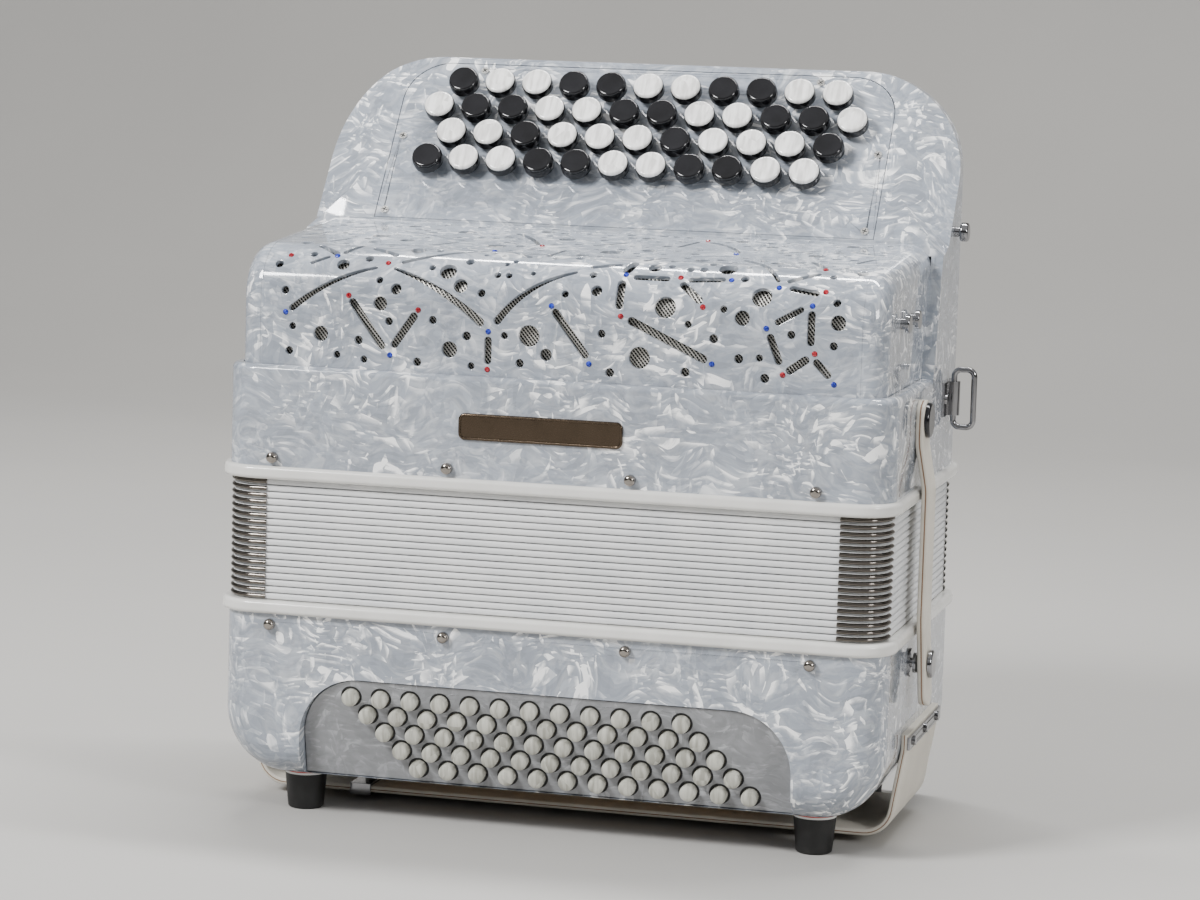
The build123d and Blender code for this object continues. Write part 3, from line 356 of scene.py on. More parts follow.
# Near-black for the grille's hole walls: painted shade inside the holes
HOLE_WALL_SHADE = plastic_material("hole_wall_painted_shade", (0.015, 0.015, 0.017), (0.03, 0.03, 0.03), 0.5, coat=0.0)
CHROME = metal_material("chrome_trim", (0.32, 0.32, 0.33), 0.06)
CLIP_METAL = metal_material("clip_nickel", (0.15, 0.135, 0.12), 0.10)
SCREW_METAL = metal_material("screw_nickel", (0.78, 0.77, 0.74), 0.25)
NICKEL = metal_material("nickel_pin", (0.34, 0.31, 0.28), 0.10)
STEEL = metal_material("steel_part", (0.52, 0.52, 0.54), 0.30)
ALUMINIUM = metal_material("reed_aluminium", (0.70, 0.71, 0.73), 0.35)
BRONZE = metal_material("bronze_plate", (0.105, 0.078, 0.055), 0.20)
CLOTH = cloth_material()
LEATHER = leather_material("leather_cream", (0.72, 0.68, 0.60), (0.60, 0.56, 0.48), 0.42)
SUEDE = leather_material("leather_brown", (0.30, 0.19, 0.12), (0.20, 0.12, 0.07), 0.70)
FELT = leather_material("felt_pad", (0.62, 0.50, 0.38), (0.50, 0.40, 0.30), 0.85)
GAUZE = gauze_material()
RUBBER = rubber_material()
WASHER = washer_material()
WOOD = wood_material()
RED = gem_material("stone_red", (0.16, 0.001, 0.006))
BLUE = gem_material("stone_blue", (0.001, 0.010, 0.17))

MATERIAL_OF_NODE = {
    PEARL: ["bass_casing", "treble_casing"],
    PEARL_BOARD_PAINTED_SHADE: ["bass_button_board"],
    BEAD: ["bass_bellows_frame", "treble_bellows_frame"],
    CHROME: ["bass_strap_studs", "bellows_strap_snaps", "ring_brackets",
             "strap_ring_right", "strap_ring_left", "strap_stud", "air_button",
             "chin_switch_front", "chin_switch_rear",
             "bass_screws", "bass_strap_brackets"],
    NICKEL: ["bass_bellows_pins", "treble_bellows_pins"],
    SCREW_METAL: ["button_plate_screws"],
    BLACK: ["bellows_strap_pins"],
    STEEL: ["treble_levers"],
    ALUMINIUM: ["bass_reed_plates", "treble_reed_plates"],
    BRONZE: ["name_plate"],
    FELT: ["bass_pallets", "treble_pallets"],
    RUBBER: ["rubber_feet"],
    WASHER: ["foot_washers"],
    WOOD: ["bass_soundboard", "treble_soundboard", "bass_reed_blocks", "treble_reed_blocks",
           "bass_guide_board", "bass_base_plate"],
}
BEVELLED = {
    "bass_casing": 0.9, "treble_casing": 1.8, "button_plate": 0.35, "bass_button_board": 0.25,
    "name_plate": 0.25, "ring_brackets": 0.3, "bass_strap_brackets": 0.25,
}


def dress_nodes():
    """Gives the CAD nodes in the table their material, and the ones in BEVELLED a weld, a small bevel where
    they are cut square, and weighted normals.
    """
    for material, names in MATERIAL_OF_NODE.items():
        for name in names:
            mesh = NODES[name].data
            mesh.materials.clear()
            mesh.materials.append(material)
    for name, width in BEVELLED.items():
        node = NODES[name]
        weld = node.modifiers.new("weld", "WELD")
        weld.merge_threshold = 0.00001
        bevel = node.modifiers.new("bevel", "BEVEL")
        bevel.width = width * MM
        bevel.segments = 2
        bevel.limit_method = "ANGLE"
        bevel.angle_limit = math.radians(28)
        bevel.harden_normals = False
        normal = node.modifiers.new("normal", "WEIGHTED_NORMAL")
        normal.keep_sharp = False


# ------------------------------------------------------------------ mesh helpers

def make_object(name, vertices, faces, materials, smooth=True, sharp=35.0, indices=None):
    mesh = bpy.data.meshes.new(name)
    mesh.from_pydata([tuple(Vector(v) * MM) for v in vertices], [], faces)
    for material in materials:
        mesh.materials.append(material)
    if indices:
        for polygon, index in zip(mesh.polygons, indices):
            polygon.material_index = index
    mesh.update()
    if smooth:
        mesh.shade_smooth()
        mesh.set_sharp_from_angle(angle=math.radians(sharp))
    made = bpy.data.objects.new(name, mesh)
    bpy.context.collection.objects.link(made)
    return made


def strip_faces(rows, columns, closed_rows=False, closed_columns=True, start=0):
    """Quads over a grid of rows by columns of vertices."""
    faces = []
    for r in range(rows if closed_rows else rows - 1):
        for c in range(columns if closed_columns else columns - 1):
            r1, c1 = (r + 1) % rows, (c + 1) % columns
            faces.append((start + r * columns + c, start + r * columns + c1,
                          start + r1 * columns + c1, start + r1 * columns + c))
    return faces


def lathe(profile, segments, place, vertices, faces):
    """Adds a turned form, its profile given as (radius, height), at a placement matrix."""
    start = len(vertices)
    rows = 0
    for radius, height in profile:
        for i in range(segments):
            a = 2 * math.pi * i / segments
            vertices.append(place @ Vector((radius * math.cos(a), radius * math.sin(a), height)))
        rows += 1
    faces.extend(strip_faces(rows, segments, start=start))
    faces.append(tuple(start + i for i in reversed(range(segments))))
    faces.append(tuple(start + (rows - 1) * segments + i for i in range(segments)))


def ring(profile, segments, place, vertices, faces):
    """Adds a turned ring, its closed profile given as (radius, height), at a placement matrix."""
    start = len(vertices)
    for radius, height in profile:
        for i in range(segments):
            a = 2 * math.pi * i / segments
            vertices.append(place @ Vector((radius * math.cos(a), radius * math.sin(a), height)))
    made = strip_faces(len(profile), segments, closed_rows=True, start=start)
    faces.extend(tuple(reversed(f)) for f in made)


def placement(origin, x_dir, z_dir):
    x_axis, z_axis = Vector(x_dir).normalized(), Vector(z_dir).normalized()
    y_axis = z_axis.cross(x_axis)
    turn = Matrix((x_axis, y_axis, z_axis)).transposed().to_4x4()
    return Matrix.Translation(Vector(origin)) @ turn


# ------------------------------------------------------------------ buttons

BOARD_LEAN = math.radians(37)
BOARD_FOOT = (0, 26.5, 270)
BOARD = placement(BOARD_FOOT, (1, 0, 0), (0, -math.cos(BOARD_LEAN), math.sin(BOARD_LEAN)))
TREBLE_PITCH = 18.5
TREBLE_ROWS = ((-90.5, 76.5), (-99.75, 61.4), (-90.5, 46.3), (-99.75, 31.2))
ROW_COLOURS = ("bwwbbwwbbww", "wbbwwbbwwbbw", "wwbwwwbwwwb", "bwwbbwwbbww")
CAP = ((7.0, 8.0), (7.1, 8.4), (6.95, 8.9), (6.5, 9.3), (5.9, 9.5), (5.6, 9.42), (3.0, 9.52), (0.6, 9.56))
COLLAR = ((2.6, -4.4), (2.6, 3.7), (7.1, 3.8), (7.4, 4.1), (7.4, 7.6), (7.2, 8.0))

RECESS_LEAN = math.radians(12)
RECESS_TOP = (0, -85, 67)
RECESS = placement(RECESS_TOP, (1, 0, 0), (0, -math.cos(RECESS_LEAN), -math.sin(RECESS_LEAN)))
BASS_ROWS = 5
BASS_COLUMNS = 12
BASS_PITCH = 14.12
BASS_FIRST_X = -91.0
BASS_FIRST_Z = 59.0
BASS_ROW_STEP = 8.2
BASS_ROW_SHIFT = 7.7
BASS_BUTTON = ((3.5, -3.0), (3.8, -2.6), (3.8, 3.1), (3.62, 3.6), (3.1, 3.95), (1.8, 4.15), (0.3, 4.2))
# Flat black rings round the bass buttons' holes: painted shade that makes each hole gap look wide and dark
HOLE_SHADE_RING = ((4.15, 0.0), (4.2, 0.16), (4.85, 0.16), (4.95, 0.0))


def treble_buttons():
    for row, (first, up) in enumerate(TREBLE_ROWS):
        stems = ([], [])
        for colour, material, word in (("w", WHITE_BUTTON, "white"), ("b", BLACK, "black")):
            vertices, faces = [], []
            for index, letter in enumerate(ROW_COLOURS[row]):
                if letter == colour:
                    place = BOARD @ Matrix.Translation((first + TREBLE_PITCH * index, up, 0))
                    place = place @ Matrix.Rotation(0.7 * index + row, 4, "Z")
                    lathe(CAP, 40, place, vertices, faces)
                    lathe(COLLAR, 32, place, stems[0], stems[1])
            caps = make_object(f"caps_row_{row + 1}_{word}", vertices, faces, [material])
            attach(caps, f"treble_row_{row + 1}")
            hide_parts(f"treble_buttons_row_{row + 1}_{word}")
        collars = make_object(f"collars_row_{row + 1}", stems[0], stems[1], [BLACK])
        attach(collars, f"treble_row_{row + 1}")


def bass_buttons():
    hole_shade_vertices, hole_shade_faces = [], []
    for row in range(BASS_ROWS):
        vertices, faces = [], []
        up = (BASS_FIRST_Z - RECESS_TOP[2]) / math.cos(RECESS_LEAN) - BASS_ROW_STEP * row
        for index in range(BASS_COLUMNS):
            x = BASS_FIRST_X + BASS_ROW_SHIFT * row + BASS_PITCH * index
            place = RECESS @ Matrix.Translation((x, up, 0))
            lathe(BASS_BUTTON, 28, place @ Matrix.Rotation(1.3 * index + row, 4, "Z"), vertices, faces)
            ring(HOLE_SHADE_RING, 28, place, hole_shade_vertices, hole_shade_faces)
        heads = make_object(f"bass_heads_row_{row + 1}", vertices, faces, [CREAM_BUTTON])
        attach(heads, f"bass_row_{row + 1}")
        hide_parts(f"bass_buttons_row_{row + 1}")
    # The black rings are painted shade of the hole gaps round the bass buttons
    hole_shade_rings = make_object("bass_hole_painted_shade", hole_shade_vertices, hole_shade_faces, [RUBBER])
    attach(hole_shade_rings, "bass_half")


# ------------------------------------------------------------------ bellows

def plan_point(sx, sy, inset, part):
    """A point of the rounded plan's corner: part 0 is at its front or back side, 1 at its end side."""
    radius = CORNER_R - inset if inset < CORNER_R - 1 else 1.0
    centre = Vector((sx * (END_X - inset - radius), sy * (BACK_Y - inset - radius)))
    angle = math.pi / 2 * (1 - part)
    return centre + Vector((sx * math.cos(angle), sy * math.sin(angle))) * radius


def plan_ring(inset, steps=7):
    """The whole rounded plan as a list of points, anticlockwise from above."""
    points = []
    for sx, sy, forward in ((1, -1, True), (1, 1, False), (-1, 1, True), (-1, -1, False)):
        for i in range(steps + 1):
            part = i / steps if forward else 1 - i / steps
            points.append(plan_point(sx, sy, inset, part))
    return points


def blend_share(piece):
    """Bakes the piece's placement into its mesh."""
    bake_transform(piece)


FOLD_PROFILE = ((22.5, 0.0), (5.0, 0.03), (2.9, 0.05), (2.0, 0.10), (1.62, 0.2), (1.5, 0.35), (1.5, 0.65),
                (1.62, 0.8), (2.0, 0.90), (2.9, 0.95), (5.0, 0.97), (22.5, 1.0))
CLIP_END_X = 133.0
CLIP_END_Y = 69.0
# The corner clips' profile, as inset and share of the pleat's height
CLIP_PROFILE = ((4.0, 0.10), (2.2, 0.12), (1.3, 0.20), (0.75, 0.32), (0.5, 0.5),
                (0.75, 0.68), (1.3, 0.80), (2.2, 0.88), (4.0, 0.90))


def bellows():
    pleat = (BELLOWS_Z1 - BELLOWS_Z0) / PLEATS
    first_fold, first_clip = [], []
    for k in range(PLEATS):
        z0 = BELLOWS_Z0 + k * pleat
        vertices = []
        for inset, part in FOLD_PROFILE:
            vertices += [(p.x, p.y, z0 + part * pleat) for p in plan_ring(inset)]
        columns = len(plan_ring(0))
        faces = strip_faces(len(FOLD_PROFILE), columns)
        fold = make_object(f"pleat_{k + 1}", vertices, faces, [CLOTH], sharp=60)
        blend_share(fold)
        first_fold.append(fold)
        vertices, faces = [], []
        for sx in (1, -1):
            for sy in (1, -1):
                start = len(vertices)
                for inset, part in CLIP_PROFILE:
                    z = z0 + part * pleat
                    line = [plan_point(sx, sy, inset, i / 8) for i in range(9)]
                    front_end = Vector((sx * CLIP_END_X, line[0].y))
                    side_end = Vector((line[-1].x, sy * CLIP_END_Y))
                    line = [front_end, *line, side_end]
                    vertices += [(p.x, p.y, z) for p in line]
                made = strip_faces(len(CLIP_PROFILE), 11, closed_columns=False, start=start)
                faces += made if sx * sy < 0 else [tuple(reversed(f)) for f in made]
        clip = make_object(f"corner_clips_{k + 1}", vertices, faces, [CLIP_METAL], sharp=70)
        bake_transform(clip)
        first_clip.append(clip)
    for part in range(3):
        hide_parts(f"bellows_folds_{part + 1}")
        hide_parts(f"bellows_corners_{part + 1}")


# ------------------------------------------------------------------ grille cover

COVER_Y = -80.5
COVER_END_Y = 26.0
COVER_TOP = 269.0
COVER_HALF = 149.5
COVER_T = 2.5
COVER_R = 10.5
COVER_DROP = 8.0
BEND_R = 24.0
SLOPE = math.radians(4)
TURN = math.pi / 2 - SLOPE
SETBACK = BEND_R * math.tan(TURN / 2)
CORNER_Z = COVER_TOP - (COVER_END_Y - COVER_Y) * math.tan(SLOPE)
STRAIGHT = CORNER_Z - SETBACK - LIP_Z
ARC = BEND_R * TURN
SHEET_LENGTH = STRAIGHT + ARC + (COVER_END_Y - COVER_Y) / math.cos(SLOPE) - SETBACK


def cover_place(t):
    """The (y, z) of the cover's outer profile at a length up from the lip, and its outward direction."""
    if t <= STRAIGHT:
        return Vector((COVER_Y, LIP_Z + t)), Vector((-1.0, 0.0))
    if t <= STRAIGHT + ARC:
        a = (t - STRAIGHT) / BEND_R
        out = Vector((-math.cos(a), math.sin(a)))
        return Vector((COVER_Y + BEND_R, LIP_Z + STRAIGHT)) + out * BEND_R, out
    run = t - STRAIGHT - ARC + SETBACK
    at = Vector((COVER_Y + run * math.cos(SLOPE), CORNER_Z + run * math.sin(SLOPE)))
    return at, Vector((-math.sin(SLOPE), math.cos(SLOPE)))


# Slots as (x, t) runs from one end through a bend to the other, with the two half widths
ARC_SLOTS = (
    ((-124, 26), (-105, 39), (-86, 47), 1.1, 0.4),
    ((-77, 47), (-54, 37), (-35, 24), 0.4, 1.7),
    ((-27, 25), (-12, 40), (7, 50), 1.4, 0.4),
    ((79, 76), (90, 64), (99, 51), 1.6, 0.5),
    ((52, 126), (63, 114), (70, 99), 1.6, 0.5),
    ((-41, 125), (-31, 111), (-23, 94), 1.4, 0.7),
)
STRAIGHT_SLOTS = (
    (-95, 30, -81, 11, 1.5), (-66, 25, -75, 12, 1.5), (-31, 16, -31, 7, 1.4), (29, 45, 29, 35, 1.6),
    (0, 30, 14, 12, 1.5), (35, 28, 68, 13, 1.6), (57, 46, 65, 39, 1.4), (116, 35, 116, 23, 1.4),
    (98, 24, 102, 14, 1.4), (101, 31, 111, 37, 1.1), (107, 10, 114, 15, 1.4), (119, 14, 124, 9, 1.4),
    (-117, 48, -110, 52, 0.5), (-116, 61, -107, 55, 1.1), (-103, 56, -97, 64, 0.9), (-116, 74, -111, 85, 0.7),
    (-120, 121, -113, 128, 0.8), (-90, 61, -79, 56, 1.0), (-74, 51, -39, 66, 0.6), (-94, 72, -41, 74, 0.6),
    (-94, 117, -58, 95, 0.7), (-29, 68, -17, 60, 0.8), (104, 51, 116, 57, 0.8), (106, 47, 117, 45, 1.1),
    (35, 49, 49, 49, 1.1), (60, 49, 74, 50, 1.1), (30, 53, 32, 58, 1.8), (109, 80, 117, 66, 1.3),
    (81, 88, 99, 91, 0.6), (53, 81, 70, 86, 0.6), (40, 108, 45, 127, 0.8), (36, 63, 44, 73, 0.8),
    (14, 54, 26, 57, 0.7), (-9, 63, -6, 80, 0.8), (128, 84, 133, 97, 0.8), (120, 118, 128, 112, 1.0),
    (-134, 92, -126, 104, 0.9), (-68, 78, -60, 90, 0.8), (2, 100, 14, 112, 0.9), (88, 104, 104, 116, 0.7),
)
ROUND_HOLES = (
    (-110, 15, 3.1), (-75, 37, 2.2), (-82, 30, 2.9), (-49, 11, 3.3), (-45, 40, 2.9), (-12, 19, 4.5),
    (-4, 11, 2.4), (-102, 48, 2.6), (-70, 62, 3.2), (-52, 47, 3.6), (-66, 123, 3.9), (18, 41, 2.2),
    (50, 35, 4.5), (85, 32, 3.1), (93, 42, 4.2), (128, 32, 3.1), (39, 12, 4.5), (-15, 115, 3.7),
    (5, 69, 2.7), (15, 82, 5.0), (20, 130, 2.7), (42, 56, 2.6), (75, 58, 3.9), (81, 121, 2.7),
    (94, 72, 2.7), (135, 60, 2.2), (-125, 66, 2.6), (-84, 88, 3.2), (-40, 84, 4.4), (60, 70, 3.0),
    (106, 100, 3.6), (-100, 98, 4.0), (30, 92, 3.2), (64, 134, 3.0), (-95, 134, 2.8),
    (116, 134, 3.0), (-30, 136, 3.2), (84, 14, 1.7), (-92, 13, 1.6), (96, 6, 1.7),
)
RED_STONES = ((-97, 33), (-64, 28), (-31, 3), (-81, 50), (30, 30), (67, 36), (118, 18), (104, 8), (121, 46),
              (55, 50), (-128, 52), (118, 62), (48, 131), (-20, 90))
BLUE_STONES = ((-127, 24), (-77, 7), (-31, 20), (-2, 33), (16, 8), (72, 11), (96, 28), (116, 39), (127, 5),
               (100, 47), (78, 50), (30, 50), (-106, 53), (-36, 68), (70, 94))
STONE_R = 1.35
OPENING_EASE = 0.35
FRONT_FIELD_T = 45.0
SMALL_HOLES = 190
TRIES = 9000
DRAW_SEED = 7
DRAW_X = 135
DRAW_T = (4, 145)
SHELF_RADII = (0.8, 1.2, 1.4, 1.6, 1.9)
FRONT_RADII = (1.3, 1.5, 1.6, 1.7)
SHELF_ROOM = 2.6
FRONT_ROOM = 4.4


def ribbon(points, start_half, end_half):
    """The outline of a slot along points, its half width changing from one end to the other, round ended."""
    count = len(points)
    left, right = [], []
    for i, point in enumerate(points):
        a, b = points[max(i - 1, 0)], points[min(i + 1, count - 1)]
        along = (b - a).normalized()
        across = Vector((-along.y, along.x))
        half = start_half + (end_half - start_half) * i / (count - 1)
        left.append(point + across * half)
        right.append(point - across * half)
    first = (points[1] - points[0]).normalized()
    last = (points[-1] - points[-2]).normalized()
    caps = []
    for centre, along, half in ((points[-1], last, end_half), (points[0], -first, start_half)):
        across = Vector((-along.y, along.x))
        cap = []
        for i in range(1, 6):
            a = math.pi * i / 6
            cap.append(centre + across * half * math.cos(a) + along * half * math.sin(a))
        caps.append(cap)
    return left + caps[0] + right[::-1] + caps[1]


def bent_line(a, b, c, steps=10):
    """Points on the curve that starts at a, passes b half way and ends at c."""
    a, b, c = Vector(a), Vector(b), Vector(c)
    pull = b * 2 - (a + c) / 2
    shares = (i / steps for i in range(steps + 1))
    return [a * (1 - u) ** 2 + pull * 2 * u * (1 - u) + c * u ** 2 for u in shares]


def ring_outline(x, t, radius, count=24):
    turns = (2 * math.pi * i / count for i in range(count))
    return [Vector((x + radius * math.cos(a), t + radius * math.sin(a))) for a in turns]


def grille_layout():
    """All openings of the grille, as outlines on the cover laid flat."""
    lines, keep_clear = [], []
    for a, b, c, start_half, end_half in ARC_SLOTS:
        lines.append((bent_line(a, b, c), start_half, end_half))
    for x0, t0, x1, t1, half in STRAIGHT_SLOTS:
        start, end = Vector((x0, t0)), Vector((x1, t1))
        lines.append(([start.lerp(end, i / 6) for i in range(7)], half, half))
    outlines = [ribbon(points, a + OPENING_EASE, b + OPENING_EASE) for points, a, b in lines]
    for points, start_half, end_half in lines:
        keep_clear += [(p, max(start_half, end_half)) for p in points]
    for x, t, radius in ROUND_HOLES:
        outlines.append(ring_outline(x, t, radius + OPENING_EASE))
        keep_clear.append((Vector((x, t)), radius))
    keep_clear += [(Vector(p), STONE_R) for p in RED_STONES + BLUE_STONES]
    draw = random.Random(DRAW_SEED)
    made = 0
    for _ in range(TRIES):
        if made >= SMALL_HOLES:
            break
        spot = Vector((draw.uniform(-DRAW_X, DRAW_X), draw.uniform(*DRAW_T)))
        radius = draw.choice(SHELF_RADII)
        if spot.y < FRONT_FIELD_T:
            radius = draw.choice(FRONT_RADII)
        room = FRONT_ROOM if spot.y < FRONT_FIELD_T else SHELF_ROOM
        if all((spot - other).length > radius + size + room for other, size in keep_clear):
            outlines.append(ring_outline(spot.x, spot.y, radius + OPENING_EASE, 14))
            keep_clear.append((spot, radius))
            made += 1
    return outlines


def flat_sheet(outlines, thick, edge):
    """A flat sheet with holes as a mesh: x, t and height, with rounded hole edges."""
    curve = bpy.data.curves.new("sheet", "CURVE")
    curve.dimensions = "2D"
    curve.fill_mode = "BOTH"
    curve.extrude = (thick / 2 - edge) * MM
    curve.bevel_depth = edge * MM
    curve.bevel_resolution = 1
    curve.offset = -edge * MM
    half = COVER_HALF - COVER_R
    corners = ((-half, -COVER_DROP), (half, -COVER_DROP), (half, SHEET_LENGTH), (-half, SHEET_LENGTH))
    border = [Vector(p) for p in corners]
    for outline in [border] + outlines:
        spline = curve.splines.new("POLY")
        spline.points.add(len(outline) - 1)
        spline.use_cyclic_u = True
        for point, place in zip(spline.points, outline):
            point.co = (place.x * MM, place.y * MM, 0, 1)
    holder = bpy.data.objects.new("sheet", curve)
    bpy.context.collection.objects.link(holder)
    bpy.context.view_layer.update()
    mesh = bpy.data.meshes.new_from_object(holder.evaluated_get(bpy.context.evaluated_depsgraph_get()))
    bpy.data.objects.remove(holder)
    bpy.data.curves.remove(curve)
    return mesh


def grille_cover():
    mesh = flat_sheet(grille_layout(), COVER_T, 0.22)
    work = bmesh.new()
    work.from_mesh(mesh)
    bmesh.ops.remove_doubles(work, verts=work.verts, dist=1e-7)
    # Faces across the sheet, mostly the hole walls, get the near-black painted shade
    for face in work.faces:
        face.material_index = 1 if abs(face.normal.z) < 0.3 else 0
    cuts = 22
    for i in range(cuts + 1):
        t = (STRAIGHT + ARC * i / cuts) * MM
        geometry = work.verts[:] + work.edges[:] + work.faces[:]
        bmesh.ops.bisect_plane(work, geom=geometry, plane_co=(0, t, 0), plane_no=(0, 1, 0), dist=1e-7)
    for vertex in work.verts:
        x, t, height = vertex.co / MM
        at, out = cover_place(t)
        place = at + out * (height - COVER_T / 2)
        vertex.co = Vector((x, place.x, place.y)) * MM
    bmesh.ops.recalc_face_normals(work, faces=work.faces)
    work.to_mesh(mesh)
    work.free()
    mesh.materials.clear()
    mesh.materials.append(PEARL)
    mesh.materials.append(HOLE_WALL_SHADE)
    mesh.shade_smooth()
    mesh.set_sharp_from_angle(angle=math.radians(20))
    sheet = bpy.data.objects.new("grille_sheet", mesh)
    bpy.context.collection.objects.link(sheet)
    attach(sheet, "treble_half")
    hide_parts("grille_cover")
    for side in (1, -1):
        cover_end(side)


# The skirt that closes the slit between the cover's end and the casing's end wall
SKIRT_W = 1.8
SKIRT_TOP = 264.0
SKIRT_Y = (10.8, 24.7)
WALL_BACK_TOP = (23.5, 258.3)
WALL_BACK_FOOT_Y = 10.5


def cover_end(side):
    """The rounded corner and flat wall at one end of the cover."""
    samples = [-COVER_DROP, 0, 10, 20] + [STRAIGHT + ARC * i / 22 for i in range(23)]
    samples += [STRAIGHT + ARC + (SHEET_LENGTH - STRAIGHT - ARC) * i / 6 for i in range(1, 7)]
    steps = 12
    vertices = []
    for t in samples:
        at, out = cover_place(t)
        centre = at - out * COVER_R
        for i in range(steps + 1):
            a = math.pi / 2 * i / steps
            place = centre + out * COVER_R * math.cos(a)
            x = side * (COVER_HALF - COVER_R + COVER_R * math.sin(a))
            vertices.append((x, place.x, place.y))
    faces = strip_faces(len(samples), steps + 1, closed_columns=False)
    rim = [i * (steps + 1) + steps for i in range(len(samples) - 1)]
    start = len(vertices)
    wall_x = side * COVER_HALF
    vertices += [(wall_x, *WALL_BACK_TOP), (wall_x, WALL_BACK_FOOT_Y, LIP_Z - COVER_DROP)]
    faces.append(tuple(rim + [start, start + 1]))
    skirt = [(wall_x, SKIRT_Y[0], LIP_Z), (wall_x, SKIRT_Y[1], SKIRT_TOP)]
    skirt += [(wall_x + side * SKIRT_W, y, z) for _, y, z in reversed(skirt)]
    faces.append(tuple(range(len(vertices), len(vertices) + 4)))
    vertices += skirt
    if side < 0:
        faces = [tuple(reversed(f)) for f in faces]
    word = "right" if side > 0 else "left"
    end = make_object(f"cover_end_{word}", vertices, [tuple(reversed(f)) for f in faces], [PEARL], sharp=25)
    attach(end, "treble_half")


GAUZE_GAP = 1.2
GAUZE_XS = (-138, -70, 0, 70, 138)


def gauze():
    """The wire gauze just inside the cover."""
    vertices = []
    samples = [-4, STRAIGHT] + [STRAIGHT + ARC * i / 12 for i in range(1, 13)] + [SHEET_LENGTH - 2]
    for t in samples:
        at, out = cover_place(t)
        place = at - out * (COVER_T + GAUZE_GAP)
        vertices += [(x, place.x, place.y) for x in GAUZE_XS]
    faces = strip_faces(len(samples), len(GAUZE_XS), closed_columns=False)
    sheet = make_object("gauze", vertices, faces, [GAUZE])
    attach(sheet, "treble_half")
    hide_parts("grille_mesh")


PLATE_HALF_X = 38.0
PLATE_HALF_Z = 6.0
PLATE_CORNER = 3.0
PLATE_CENTRE = (-4.0, 186.5)
PLATE_FRONT = -BACK_Y - 0.8
BORDER_INSET = 0.7
BORDER_R = 0.6


def name_plate_border():
    """A raised rounded border on the blank name plate."""
    vertices, faces = [], []
    inner_x, inner_z = PLATE_HALF_X - PLATE_CORNER, PLATE_HALF_Z - PLATE_CORNER
    spine = []
    for quarter, (sx, sz) in enumerate(((1, 1), (-1, 1), (-1, -1), (1, -1))):
        for i in range(7):
            a = math.pi / 2 * (quarter + i / 6)
            spine.append((sx * inner_x, sz * inner_z, a))
    for cx, cz, a in spine:
        for k in range(8):
            b = 2 * math.pi * k / 8
            reach = PLATE_CORNER - BORDER_INSET + BORDER_R * math.cos(b)
            vertices.append((PLATE_CENTRE[0] + cx + reach * math.cos(a), PLATE_FRONT - BORDER_R * math.sin(b),
                             PLATE_CENTRE[1] + cz + reach * math.sin(a)))
    faces += strip_faces(len(spine), 8, closed_rows=True)
    border = make_object("name_plate_border", vertices, faces, [BRONZE], sharp=60)
    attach(border, "treble_half")


SCREW_PLACES = ((117.0, 4.5), (117.0, 47.5), (83.5, 87.5))
CROSS_TURN = 0.5
CROSS_REACH = 1.25
CROSS_HALF_W = 0.22
CROSS_LEVELS = (0.6, 0.84)
CROSS_CORNERS = (
    (-CROSS_REACH, -CROSS_HALF_W), (CROSS_REACH, -CROSS_HALF_W),
    (CROSS_REACH, CROSS_HALF_W), (-CROSS_REACH, CROSS_HALF_W),
)


def screw_cross_shades():
    """The crosses in the button plate's screws, as thin dark bars just clear of the heads: painted shade of
    the cross recesses.
    """
    vertices, faces = [], []
    for x, up in SCREW_PLACES:
        for side in (1, -1):
            for turn in (CROSS_TURN, CROSS_TURN + math.pi / 2):
                place = BOARD @ Matrix.Translation((side * x, up, 0)) @ Matrix.Rotation(turn + x, 4, "Z")
                start = len(vertices)
                for z in CROSS_LEVELS:
                    for dx, dy in CROSS_CORNERS:
                        vertices.append(place @ Vector((dx, dy, z)))
                faces += strip_faces(2, 4, start=start)
                faces += [tuple(start + k for k in (3, 2, 1, 0)), tuple(start + k for k in (4, 5, 6, 7))]
    # The black bars are painted shade of the screws' cross recesses
    crosses = make_object("screw_cross_shades", vertices, faces, [BLACK], smooth=False)
    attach(crosses, "treble_half")


STONE = ((1.35, -0.6), (1.35, 0.05), (1.15, 0.35), (0.65, 0.62), (0.6, 0.62))


def stones():
    for places, material, word in ((RED_STONES, RED, "red"), (BLUE_STONES, BLUE, "blue")):
        vertices, faces = [], []
        for x, t in places:
            at, out = cover_place(t)
            place = placement((x, at.x, at.y), (1, 0, 0), (0, out.x, out.y))
            lathe(STONE, 10, place, vertices, faces)
        gems = make_object(f"stones_{word}", vertices, faces, [material], smooth=False)
        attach(gems, "treble_half")
        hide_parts(f"grille_stones_{word}")


# ------------------------------------------------------------------ straps

def rounded_path(points, radius, arc_steps=8, run_steps=4):
    """A polyline with its corners rounded, as many points."""
    points = [Vector(p) for p in points]
    path = [points[0]]
    for before, here, after in zip(points, points[1:], points[2:]):
        u, v = (before - here).normalized(), (after - here).normalized()
        turn = math.pi - u.angle(v)
        a = here + u * radius * math.tan(turn / 2)
        middle = here + (u + v).normalized() * (radius / math.cos(turn / 2))
        side = 1 if u.x * v.y - u.y * v.x < 0 else -1
        start = path[-1]
        path += [start.lerp(a, k / run_steps) for k in range(1, run_steps)]
        for k in range(arc_steps + 1):
            angle = side * turn * k / arc_steps
            arm = a - middle
            path.append(middle + Vector((
                arm.x * math.cos(angle) - arm.y * math.sin(angle),
                arm.x * math.sin(angle) + arm.y * math.cos(angle),
            )))
    start = path[-1]
    path += [start.lerp(points[-1], k / run_steps) for k in range(1, run_steps + 1)]
    return path


